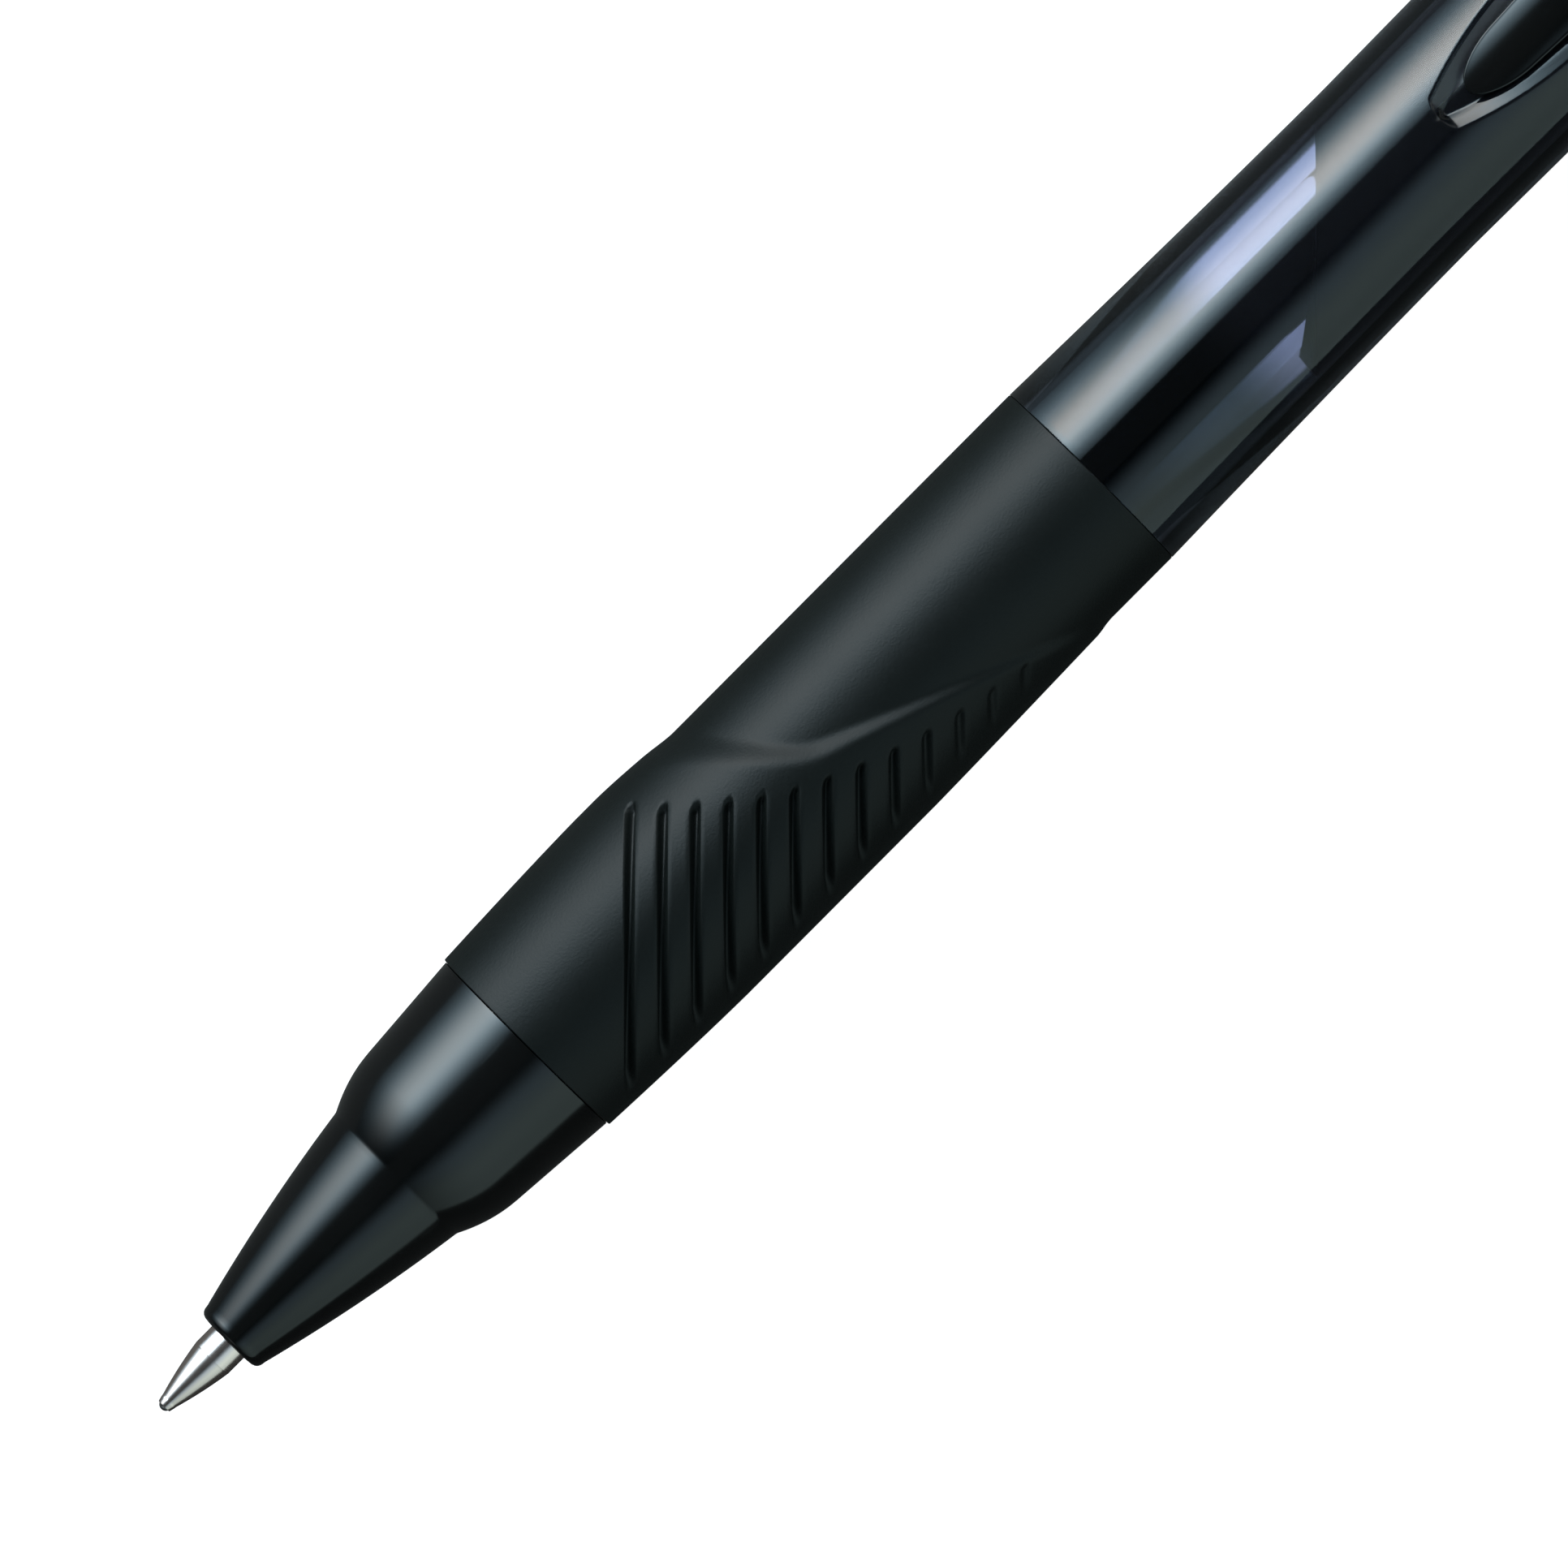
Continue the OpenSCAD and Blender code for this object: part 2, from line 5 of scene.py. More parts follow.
import bpy
import numpy as np
from mathutils import Matrix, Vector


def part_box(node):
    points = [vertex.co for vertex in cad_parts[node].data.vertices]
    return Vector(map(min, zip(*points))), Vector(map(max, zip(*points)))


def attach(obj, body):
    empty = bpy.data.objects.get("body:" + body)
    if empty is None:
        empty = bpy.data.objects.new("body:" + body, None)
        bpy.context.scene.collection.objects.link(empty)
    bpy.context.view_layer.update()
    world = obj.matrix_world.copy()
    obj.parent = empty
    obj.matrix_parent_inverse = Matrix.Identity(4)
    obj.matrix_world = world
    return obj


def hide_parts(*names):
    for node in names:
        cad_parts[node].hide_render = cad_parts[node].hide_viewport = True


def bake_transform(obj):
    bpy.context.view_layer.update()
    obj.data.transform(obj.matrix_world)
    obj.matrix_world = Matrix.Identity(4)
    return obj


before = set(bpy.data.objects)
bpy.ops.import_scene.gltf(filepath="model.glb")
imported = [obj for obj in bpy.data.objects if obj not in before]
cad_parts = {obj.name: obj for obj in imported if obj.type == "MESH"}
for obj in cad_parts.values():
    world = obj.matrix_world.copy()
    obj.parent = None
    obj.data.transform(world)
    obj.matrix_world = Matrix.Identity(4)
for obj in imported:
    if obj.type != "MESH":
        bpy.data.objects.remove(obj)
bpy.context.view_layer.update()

# ---- Camera ----
# A long lens looks down on the pen, a little from its right, and leaves its rear out of view.
# Places are in millimetres: station counts along the pen from the ball's point, across is to the
# pen's left, and up is above its axis.
MM = 0.001
PEN_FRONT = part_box("ball")[0].x
AXIS_Z = sum(corner.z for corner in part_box("refill_tube")) / 2
VIEW_WIDTH = 80.5
VIEW_CENTRE = 45.3
CAMERA_UP = 900
SENSOR = 36
PEN_SLANT = 45.1
VIEW_ROLL = 3.0


def place(station, across, up):
    """Points in metres for stations, sideways places and heights that are given in millimetres."""
    points = np.broadcast_arrays(PEN_FRONT + station * MM, across * MM, AXIS_Z + up * MM)
    return np.stack(points, axis=-1)


camera = bpy.data.objects.new("camera", bpy.data.cameras.new("camera"))
camera.data.sensor_width = SENSOR
camera.data.lens = SENSOR * CAMERA_UP / VIEW_WIDTH
camera.data.clip_end = 10
camera.matrix_world = (
    Matrix.Translation(place(VIEW_CENTRE, 0, 0).tolist())
    @ Matrix.Rotation(math.radians(VIEW_ROLL), 4, "X")
    @ Matrix.Translation((0, 0, CAMERA_UP * MM))
    @ Matrix.Rotation(math.radians(-PEN_SLANT), 4, "Z")
)
bpy.context.scene.collection.objects.link(camera)
bpy.context.scene.camera = camera
bpy.context.scene.view_settings.view_transform = "Standard"

# ---- Floor and light ----
# A white floor, and two sheets of light that are parts of a cylinder round the pen: a bright one on
# its left gives the broad highlight, a dim one on its right the faint one. The dark room glows
# softly beyond the pen's two ends, and a small card lights the clear barrel from below.
FLOOR_GLOW = 0.97
FLOOR_HALF = 1500.0
SHEET_RADIUS = 500
SHEET_LENGTH = 1700
KEY_GLOW = 10.0
KEY_ANGLE = 47
FILL_GLOW = 1.05
CARD_HALF = 6.5
CARD_FRONT = -20.0
CARD_REAR = 170.0
FLOOR_DOWN = -AXIS_Z / MM
WHITE = (1, 1, 1, 1)


class Value:
    """The output of a node. An operator on it adds the Math node that works the result out."""

    def __init__(self, finish, socket):
        self.finish = finish
        self.socket = socket

    def __add__(self, other):
        return self.finish.math("ADD", self, other)

    def __radd__(self, other):
        return self.finish.math("ADD", other, self)

    def __sub__(self, other):
        return self.finish.math("SUBTRACT", self, other)

    def __rsub__(self, other):
        return self.finish.math("SUBTRACT", other, self)

    def __mul__(self, other):
        return self.finish.math("MULTIPLY", self, other)

    def __rmul__(self, other):
        return self.finish.math("MULTIPLY", other, self)

    def ramp(self, low, high):
        """0 below low, 1 above high, and a smooth S between them."""
        settings = {"interpolation_type": "SMOOTHSTEP"}
        sockets = {"Value": self, "From Min": low, "From Max": high}
        return self.finish.node("MapRange", settings, sockets)


class Finish:
    """A material in the making, or the room's light. node() adds a node and gives one output."""

    def __init__(self, name, collection=bpy.data.materials):
        self.material = collection.new(name)
        self.material.use_nodes = True
        self.tree = self.material.node_tree
        self.tree.nodes.clear()

    def node(self, kind, settings=None, sockets=None, output=0):
        """One shader node: its settings first, then numbers or links for its sockets."""
        made = self.tree.nodes.new("ShaderNode" + kind)
        for name, value in (settings or {}).items():
            setattr(made, name, value)
        for name, value in (sockets or {}).items():
            if isinstance(value, Value):
                self.tree.links.new(value.socket, made.inputs[name])
            else:
                made.inputs[name].default_value = value
        return Value(self, made.outputs[output])

    def math(self, operation, *terms):
        """A Math node over its terms."""
        return self.node("Math", {"operation": operation}, dict(enumerate(terms)))

    def coordinates(self, centre=(0, 0, 0), scale=(1, 1, 1)):
        """Object coordinates in metres, moved to a centre and scaled."""
        where = self.node("TexCoord", output="Object")
        moved = {"Vector": where, "Location": [-c * s for c, s in zip(centre, scale)], "Scale": scale}
        return self.node("Mapping", {"vector_type": "POINT"}, moved)

    def along(self, axis):
        """The Object coordinate along X, Y or Z, in millimetres and counted from the ball's point."""
        where = self.coordinates(centre=(PEN_FRONT, 0, AXIS_Z), scale=(1 / MM,) * 3)
        return self.node("SeparateXYZ", sockets={"Vector": where}, output=axis)

    def grain(self, fineness, detail=2.0, stretch=(1, 1, 1)):
        """Noise with features about 1/fineness millimetres across."""
        where = self.coordinates(scale=[s / MM for s in stretch])
        return self.node("TexNoise", sockets={"Vector": where, "Scale": fineness, "Detail": detail})

    def bump(self, height, depth):
        """A Normal made from a height of 0 to 1 that stands for depth millimetres."""
        return self.node("Bump", sockets={"Height": height, "Distance": depth * MM, "Strength": 1.0})

    def mix(self, share, first, second):
        """A colour between two colours."""
        sockets = {"Factor": share, 6: first, 7: second}
        return self.node("Mix", {"data_type": "RGBA"}, sockets, output=2)

    def close(self, surface, output="OutputMaterial"):
        """Ends the tree with its output node, and gives what it belongs to."""
        end = self.tree.nodes.new("ShaderNode" + output)
        self.tree.links.new(surface.socket, end.inputs["Surface"])
        return self.material

    def glow(self, colour, share, strength=1.0):
        """Ends the tree with light of a colour, times a share that may vary, times a strength."""
        dimmed = self.node("VectorMath", {"operation": "SCALE"}, {0: colour, "Scale": share})
        return self.close(self.node("Emission", sockets={"Color": dimmed, "Strength": strength}))

    def principled(self, **sockets):
        """Ends the tree with a Principled shader; underscores in the names stand for spaces."""
        named = {name.replace("_", " "): value for name, value in sockets.items()}
        return self.close(self.node("BsdfPrincipled", sockets=named))


def grid_faces(rows, columns, rows_close, columns_close):
    """Quads over a grid of points; a direction that closes joins its last line to its first."""
    i = np.arange(rows if rows_close else rows - 1)[:, None]
    j = np.arange(columns if columns_close else columns - 1)[None, :]
    i_next = (i + 1) % rows
    j_next = (j + 1) % columns
    corners = (i * columns + j, i * columns + j_next, i_next * columns + j_next, i_next * columns + j)
    return np.stack(np.broadcast_arrays(*corners), axis=-1).reshape(-1, 4)


def piece(name, material, *shells):
    """One object made of one or more shells, each a pair of points and faces."""
    points = np.concatenate([shell[0] for shell in shells])
    first = np.cumsum([0] + [len(shell[0]) for shell in shells])
    pairs = zip(shells, first)
    faces = [[corner + start for corner in face] for shell, start in pairs for face in shell[1]]
    mesh = bpy.data.meshes.new(name)
    mesh.from_pydata(points.tolist(), [], faces)
    mesh.shade_smooth()
    mesh.materials.append(material)
    made = bpy.data.objects.new(name, mesh)
    bpy.context.scene.collection.objects.link(made)
    return made


def light_sheet(name, low, high, pattern, strength, rows=61):
    """Part of a cylinder round the pen's axis: radius times sine and cosine of an angle from
    straight up towards the pen's left. pattern gives a share and a colour of its light, from that
    angle in degrees, as the camera sees it, and from the station."""
    angle = np.radians(np.linspace(low, high, rows))[:, None]
    station = np.array([-SHEET_LENGTH / 2, SHEET_LENGTH / 2])
    points = place(station, SHEET_RADIUS * np.sin(angle), SHEET_RADIUS * np.cos(angle))
    lit = Finish(name)
    turn = lit.math("ARCTAN2", lit.along("Y"), lit.along("Z"))
    share, colour = pattern(lit, turn * (180 / math.pi) + VIEW_ROLL, lit.along("X"))
    light = lit.glow(colour, share, strength)
    sheet = piece(name, light, (points.reshape(-1, 3), grid_faces(rows, 2, False, False).tolist()))
    sheet.visible_camera = False
    sheet.visible_transmission = False


def bell(value, centre, width):
    """A bell curve: e to the power of minus half the squared distance from the centre, in widths."""
    distance = (value - centre) * (1 / width)
    return value.finish.math("EXPONENT", distance * distance * -0.5)


def key_pattern(lit, degrees, station):
    """Brightest at the key's angle, fading faster upwards than downwards and towards the pen's two
    ends; neutral in the middle and a little blue towards its edges."""
    upper = bell(degrees, KEY_ANGLE, 12)
    lower = bell(degrees, KEY_ANGLE, 20)
    side = degrees.ramp(KEY_ANGLE - 0.5, KEY_ANGLE + 0.5)
    share = (upper * (1 - side) + lower * side) * bell(station, 92, 210)
    blue = lit.math("ABSOLUTE", degrees - (KEY_ANGLE + 10)).ramp(2, 34)
    middle = lit.mix(station.ramp(20, 90), (0.86, 1.0, 1.06, 1), (0.96, 1.0, 1.0, 1))
    return share, lit.mix(blue, middle, (0.70, 1.0, 1.18, 1))


def fill_pattern(lit, degrees, station):
    """It brightens, turns from blue to slightly green and then fades towards the floor."""
    share = degrees.ramp(-13, -37) * (0.5 - degrees * 0.0062) * (1 - degrees.ramp(-55, -90) * 0.35)
    share = share * bell(station, 60, 420)
    return share, lit.mix(degrees.ramp(-28, -60), (0.66, 0.93, 1.1, 1), (0.76, 1.0, 0.98, 1))


def level_sheet(name, material, ends, sides, up):
    """A flat rectangle that faces up, between two stations and two sideways places."""
    points = place(np.array(ends)[:, None], np.array(sides), up)
    sheet = piece(name, material, (points.reshape(-1, 3), [[0, 2, 3, 1]]))
    sheet.visible_glossy = False
    return sheet


light_sheet("key_box", 16, 96, key_pattern, KEY_GLOW)
light_sheet("fill_sheet", -97, -15, fill_pattern, FILL_GLOW)

floor_white = Finish("floor_white")
floor_glow = floor_white.node("Emission", sockets={"Color": WHITE, "Strength": FLOOR_GLOW})
floor_matt = floor_white.node("BsdfDiffuse", sockets={"Color": (0.2, 0.2, 0.2, 1)})
floor_white.close(floor_white.node("AddShader", sockets={0: floor_glow, 1: floor_matt}))
floor_ends = (-FLOOR_HALF, FLOOR_HALF)
floor = level_sheet("floor", floor_white.material, floor_ends, floor_ends, FLOOR_DOWN)
floor.visible_transmission = False

card_white = Finish("card_white")
card_share = (card_white.along("Y").ramp(-6, 5) * 0.75 + 0.35) * card_white.along("X").ramp(66, 74)
card_light = card_white.glow((1, 1, 1), card_share)
card_ends = (CARD_FRONT, CARD_REAR)
card = level_sheet("card", card_light, card_ends, (-CARD_HALF, CARD_HALF), FLOOR_DOWN + 0.01)
card.visible_camera = False
card.visible_diffuse = False
card.visible_shadow = False

room = Finish("studio", bpy.data.worlds)
bpy.context.scene.world = room.material
seen = room.node("LightPath", output="Is Camera Ray")
direction = room.node("TexCoord", output="Generated")
rearward, leftward, upward = [
    room.node("SeparateXYZ", sockets={"Vector": direction}, output=axis) for axis in "XYZ"
]
dim = upward.ramp(0.05, -0.05) * (leftward.ramp(-0.3, 0.5) * 0.07 - 0.01) + 0.04
ends = (rearward.ramp(0.4, 0.75) * 1.2 + rearward.ramp(-0.86, -0.96) * 0.5) * upward.ramp(0.0, 0.4)
room.close(
    room.node("Background", sockets={"Color": (0.9, 1, 1, 1), "Strength": seen * 0.9 + dim + ends}),
    "OutputWorld",
)

# ---- Ball and writing tip ----
# The ball is polished tungsten carbide, 0.7 mm across. It turns in a socket that is crimped into a
# steel tip, turned on a lathe as one long rounded cone, a straight shank and a thinner stub.


def reach(node):
    """First and last station of a CAD node."""
    low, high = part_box(node)
    return (low.x - PEN_FRONT) / MM, (high.x - PEN_FRONT) / MM


def girth(node):
    """Largest radius of a CAD node across the pen."""
    low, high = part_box(node)
    return (high.y - low.y) / 2 / MM


BALL_FRONT, BALL_REAR = reach("ball")
BALL_R = (BALL_REAR - BALL_FRONT) / 2
TIP_FRONT, TIP_REAR = reach("writing_tip")
SHANK_R = girth("writing_tip")
CONE_REAR = TIP_FRONT + 3.5
HOLDER_FRONT, HOLDER_REAR = reach("tip_holder")


def bulged(first, last, bulge, share):
    """From first to last, swelling on the way: first + span ((1 + bulge) t - bulge t squared)."""
    return first + (last - first) * ((1 + bulge) * share - bulge * share * share)


def curve(first, last, bulge=0.0, steps=24):
    """Outline points along one swelling line between two (station, radius) points."""
    share = np.linspace(0, 1, steps + 1)
    station = first[0] + (last[0] - first[0]) * share
    return np.stack([station, bulged(first[1], last[1], bulge, share), 0 * share], axis=1)


def arc(centre, radius, start, end, steps=16):
    """Outline points on a circle about a (station, radius) centre; 0 degrees points to the rear."""
    angle = np.radians(np.linspace(start, end, steps + 1))
    return np.stack([centre + radius * np.cos(angle), radius * np.sin(angle), 0 * angle], axis=1)


def outline(*runs, closed=True, step=0.6):
    """A chain of (station, radius, rounding) corners and of curves. A corner is cut back by its
    rounding on both sides and joined by a parabola, and straight stretches are split into steps."""
    corners = np.concatenate([np.atleast_2d(run) for run in runs]).astype(float)
    arcs = []
    share = np.linspace(0, 1, 6)[:, None]
    for k, (*here, cut) in enumerate(corners):
        here = np.array(here)
        if cut == 0:
            arcs.append(here[None])
            continue
        back = corners[k - 1, :2] - here
        on = corners[(k + 1) % len(corners), :2] - here
        start = here + back * cut / np.hypot(*back)
        end = here + on * cut / np.hypot(*on)
        arcs.append((1 - share) ** 2 * start + 2 * share * (1 - share) * here + share**2 * end)
    chain = []
    pairs = list(zip(arcs, arcs[1:] + arcs[:1]))
    for bend, following in pairs if closed else pairs[:-1]:
        span = following[0] - bend[-1]
        pieces = max(1, math.ceil(np.hypot(*span) / step))
        chain.append(bend)
        chain.append(bend[-1] + span * np.arange(1, pieces)[:, None] / pieces)
    return np.concatenate(chain if closed else chain + [arcs[-1]])


def shell(rings, closed=False, ends=None):
    """A closed skin over rings of points. A chain of rings either closes on itself or gets a fan at
    each end. The skin is turned so that it encloses a positive volume, which points it outwards."""
    rows, columns = rings.shape[:2]
    points = rings.reshape(-1, 3)
    quads = grid_faces(rows, columns, closed, True)
    fans = np.empty((0, 3), int)
    if not closed:
        tips = ends if ends is not None else (rings[0].mean(axis=0), rings[-1].mean(axis=0))
        points = np.concatenate([points, tips])
        j = np.arange(columns)
        j_next = (j + 1) % columns
        last = (rows - 1) * columns
        front_fan = np.stack([j_next, j, np.full(columns, rows * columns)], axis=1)
        rear_fan = np.stack([j + last, j_next + last, np.full(columns, rows * columns + 1)], axis=1)
        fans = np.concatenate([front_fan, rear_fan])
    a, b, c = points[np.concatenate([quads[:, :3], quads[:, [0, 2, 3]], fans])].transpose(1, 0, 2)
    if np.einsum("ij,ij->i", a, np.cross(b, c)).sum() < 0:
        quads, fans = quads[:, ::-1], fans[:, ::-1]
    return points, quads.tolist() + fans.tolist()


def turned(chain, around=160):
    """A solid of revolution: radius times sine and cosine of the angle, for every outline point.
    A chain whose ends lie on the axis gets poles there; any other closes on itself."""
    on_axis = chain[0, 1] < 1e-6
    body = chain[1:-1] if on_axis else chain
    angle = np.linspace(0, 2 * np.pi, around, endpoint=False)
    station, radius = body[:, :1], body[:, 1:]
    rings = place(station, radius * np.sin(angle), radius * np.cos(angle))
    ends = place(chain[[0, -1], 0], 0, 0) if on_axis else None
    return shell(rings, closed=not on_axis, ends=ends)


def turned_steel(name, colour, roughness, ring_pitch):
    """Bright steel with fine turning marks round the pen's axis and a trace of wear."""
    steel = Finish(name)
    marks = steel.math("SINE", steel.along("X") * (2 * math.pi / ring_pitch))
    cloud = steel.grain(1.6)
    return steel.principled(
        Base_Color=steel.mix(cloud, (*[c * 0.94 for c in colour], 1), (*colour, 1)),
        Metallic=1.0,
        Roughness=cloud * 0.08 + (roughness - 0.04),
        Normal=steel.bump(marks * 0.5 + steel.grain(9, stretch=(3, 1, 1)), 0.0006),
    )


# The tip steel is warmer than plain steel. This is partly painted light: its pinkish tint is a painted
# reflection tint that stands in for warm light the tip reflects.
tip_steel = turned_steel("tip_steel", (0.95, 0.78, 0.72), 0.22, 0.09)
carbide = turned_steel("carbide", (0.55, 0.55, 0.57), 0.2, 0.5)

SOCKET_R = BALL_R + 0.015
CHANNEL_R = 0.22
LIP_R = 0.40
TIP_BORE_R = 0.62
STUB_R = 1.0
ball_chain = arc(BALL_R, BALL_R, 180, 0, 40)[:, :2]
ball = piece("ball_polished", carbide, turned(ball_chain, 96))
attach(ball, "ball")
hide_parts("ball")

lip_angle = math.degrees(math.acos((TIP_FRONT - BALL_R) / SOCKET_R))
channel_angle = math.degrees(math.asin(CHANNEL_R / SOCKET_R))
tip_chain = outline(
    arc(BALL_R, SOCKET_R, channel_angle, lip_angle, 14),
    (TIP_FRONT, LIP_R - 0.01, 0.03),
    (TIP_FRONT + 0.32, LIP_R + 0.075, 0.05),
    curve((TIP_FRONT + 0.4, LIP_R + 0.08), (CONE_REAR - 0.03, SHANK_R - 0.01), 0.32, 40),
    (CONE_REAR, SHANK_R, 0.02),
    (HOLDER_FRONT - 0.02, SHANK_R, 0.08),
    (HOLDER_FRONT - 0.02, STUB_R, 0.04),
    (TIP_REAR, STUB_R, 0.15),
    (TIP_REAR, TIP_BORE_R, 0.05),
    (2.3, TIP_BORE_R, 0.05),
    (2.0, CHANNEL_R, 0.05),
    step=0.25,
)
writing_tip = piece("writing_tip_turned", tip_steel, turned(tip_chain, 128))
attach(writing_tip, "refill")
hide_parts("writing_tip")

# ---- Ball spring and valve ball ----
# A fine steel spring inside the tip keeps the ball pressed to its rim, and a loose steel ball in the
# tip holder keeps the ink from running back. Both are sealed in and keep their CAD shape.
spring_steel = turned_steel("spring_steel", (0.60, 0.60, 0.61), 0.3, 0.05)


def dress(node, material):
    """Gives a CAD node its material, in every material slot that it has."""
    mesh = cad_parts[node].data
    mesh.materials.clear()
    mesh.materials.append(material)


dress("ball_spring", spring_steel)
dress("valve_ball", tip_steel)

# ---- Tip holder ----
# A milky polypropylene nozzle, injection moulded. The metal tip is pressed into its front, and its
# rear plug is pressed into the refill tube; the return spring pushes on its flange.
FLANGE_FRONT = HOLDER_FRONT + 9.4
TUBE_FRONT, TUBE_REAR = reach("refill_tube")
TUBE_R = girth("refill_tube")
BORE_R = 2.05
NOZZLE_R = 1.9
NOZZLE_HOLE_R = 1.03


def moulded(name, colour, roughness, grain_depth, fineness=6.0, **extra):
    """Moulded plastic: its colour, with cloudy roughness and a fine skin from the mould."""
    plastic = Finish(name)
    cloud = plastic.grain(0.35, 3.0)
    tone = plastic.mix(cloud, (*[c * 0.88 for c in colour], 1), (*[c * 1.1 for c in colour], 1))
    return plastic.principled(
        Base_Color=tone,
        Roughness=cloud * 0.12 + (roughness - 0.06),
        Normal=plastic.bump(plastic.grain(fineness, 3.0), grain_depth),
        **extra,
    )


nozzle_plastic = moulded(
    "nozzle_plastic",
    (0.72, 0.74, 0.72),
    0.38,
    0.002,
    Subsurface_Weight=0.2,
    Subsurface_Scale=0.001,
)
holder_chain = outline(
    (HOLDER_FRONT, NOZZLE_HOLE_R, 0.05),
    (HOLDER_FRONT, NOZZLE_R - 0.15, 0.12),
    (HOLDER_FRONT + 0.8, NOZZLE_R, 0.3),
    (FLANGE_FRONT, NOZZLE_R, 0.12),
    (FLANGE_FRONT, TUBE_R - 0.05, 0.12),
    (TUBE_FRONT - 0.02, TUBE_R - 0.05, 0.1),
    (TUBE_FRONT - 0.02, BORE_R - 0.03, 0.05),
    (HOLDER_REAR, BORE_R - 0.03, 0.2),
    (HOLDER_REAR, 0.5, 0.1),
    (TUBE_FRONT + 3.2, 0.5, 0.1),
    (TUBE_FRONT + 2.6, 1.0, 0.1),
    (FLANGE_FRONT, 1.0, 0.1),
    (FLANGE_FRONT - 0.6, 0.6, 0.1),
    (TIP_REAR + 0.3, 0.6, 0.05),
    (TIP_REAR + 0.3, NOZZLE_HOLE_R, 0.05),
)
tip_holder = piece("tip_holder_moulded", nozzle_plastic, turned(holder_chain, 128))
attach(tip_holder, "refill")
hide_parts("tip_holder")

# ---- Refill tube and tail plug ----
# Extruded clear polypropylene, cut square at both ends. A white plug with a vent hole closes the
# rear end and takes the push of the rotor.
refill_plastic = Finish("refill_plastic")
draw_lines = refill_plastic.grain(2.5, 2.0, stretch=(0.03, 1, 1))
refill_clear = refill_plastic.principled(
    Base_Color=refill_plastic.mix(draw_lines, (0.86, 0.90, 0.95, 1), (0.93, 0.95, 0.98, 1)),
    Roughness=draw_lines * 0.06 + 0.02,
    IOR=1.04,
    Transmission_Weight=1.0,
    Normal=refill_plastic.bump(draw_lines, 0.002),
)
tube_chain = outline(
    (TUBE_FRONT, BORE_R, 0.1),
    (TUBE_FRONT, TUBE_R, 0.15),
    (TUBE_REAR, TUBE_R, 0.15),
    (TUBE_REAR, BORE_R, 0.1),
    step=2.5,
)
refill_tube = piece("refill_tube_clear", refill_clear, turned(tube_chain, 160))
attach(refill_tube, "refill")
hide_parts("refill_tube")

white_plastic = moulded("white_plastic", (0.80, 0.80, 0.78), 0.42, 0.003)
dress("refill_tail_plug", white_plastic)

# ---- Ink, follower and float ----
# The ink is a black gel. A plug of clear grease follows it down the tube and keeps it from drying,
# and a short plastic rod floats in the grease.
INK_FRONT, INK_REAR = reach("ink")
INK_R = girth("ink")
black_ink = moulded("black_ink", (0.004, 0.004, 0.006), 0.12, 0.001, fineness=0.8)
ink_chain = outline(
    (INK_FRONT, 0, 0),
    (INK_FRONT, INK_R, 0.2),
    curve((INK_REAR, INK_R), (INK_REAR - 0.5, 0), -0.8, 10),
    closed=False,
    step=2.5,
)
ink = piece("ink_column", black_ink, turned(ink_chain, 128))
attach(ink, "refill")
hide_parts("ink")

grease = Finish("grease")
streaks = grease.grain(0.9, 2.0, stretch=(0.4, 1, 1))
dress("ink_follower", grease.principled(
    Base_Color=grease.mix(streaks, (0.80, 0.76, 0.58, 1), (0.93, 0.90, 0.78, 1)),
    Roughness=streaks * 0.1 + 0.05,
    IOR=1.46,
    Transmission_Weight=0.9,
    Normal=grease.bump(streaks, 0.02),
))
dress("follower_float", white_plastic)

# ---- Return spring ----
# Ten turns of 0.4 mm steel wire. It pushes the refill back from its seat in the nose cone, its front end
# on the nose and its rear end on the refill; here it is built at rest and is not attached to either.
COIL_FRONT, COIL_REAR = reach("return_spring")
WIRE_R = 0.2
COIL_R = girth("return_spring") - WIRE_R
COIL_TURNS = 10


def coil(front, rear, radius, wire, turns, steps=64, sides=16):
    """A round wire along a helix: station is linear in the turn, but the first and last turns lie
    nearly closed. The wire is cut flat where it would reach past either end, as if it was ground."""
    turn = np.linspace(0, turns, turns * steps + 1)[:, None]
    closed_pitch = 2.2 * wire
    room = rear - front - 2 * wire
    open_pitch = (room - 2 * closed_pitch) / (turns - 2)
    rise = np.interp(turn, [0, 1, turns - 1, turns], [0, closed_pitch, room - closed_pitch, room])
    slope = math.atan2(open_pitch, 2 * math.pi * radius)
    angle = 2 * np.pi * turn
    side = np.linspace(0, 2 * np.pi, sides, endpoint=False)[None, :]
    out = radius + wire * np.cos(side)
    ahead = wire * np.sin(side)
    swing = angle - ahead * math.sin(slope) / radius
    station = np.clip(front + wire + rise + ahead * math.cos(slope), front, rear)
    return place(station, out * np.sin(swing), out * np.cos(swing))


return_spring = piece(
    "return_spring_wound",
    spring_steel,
    shell(coil(COIL_FRONT, COIL_REAR, COIL_R, WIRE_R, COIL_TURNS)),
)
place(COIL_FRONT, 0, 0).tolist()
place(COIL_REAR, 0, 0).tolist()
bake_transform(return_spring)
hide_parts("return_spring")

# ---- Nose cone ----
# Polished black plastic, screwed onto the barrel. A plain cone in front runs up to a sharp crease,
# and from there the wall swells out to the width of the grip.
NOSE_FRONT, NOSE_REAR = reach("nose_cone")
NOSE_REAR = NOSE_REAR + 0.05
CREASE = NOSE_REAR - 9.45
CREASE_R = 4.39
STEP_REAR = NOSE_REAR - 6.25
STEP_R = 5.36
NOSE_LIP_R = 2.05
NOSE_REAR_R = girth("nose_cone")
MOUTH_R = SHANK_R + 0.09
SOCKET_FRONT = NOSE_REAR - 6
SOCKET_WALL = 4.63
SPRING_ROOM = 2.75


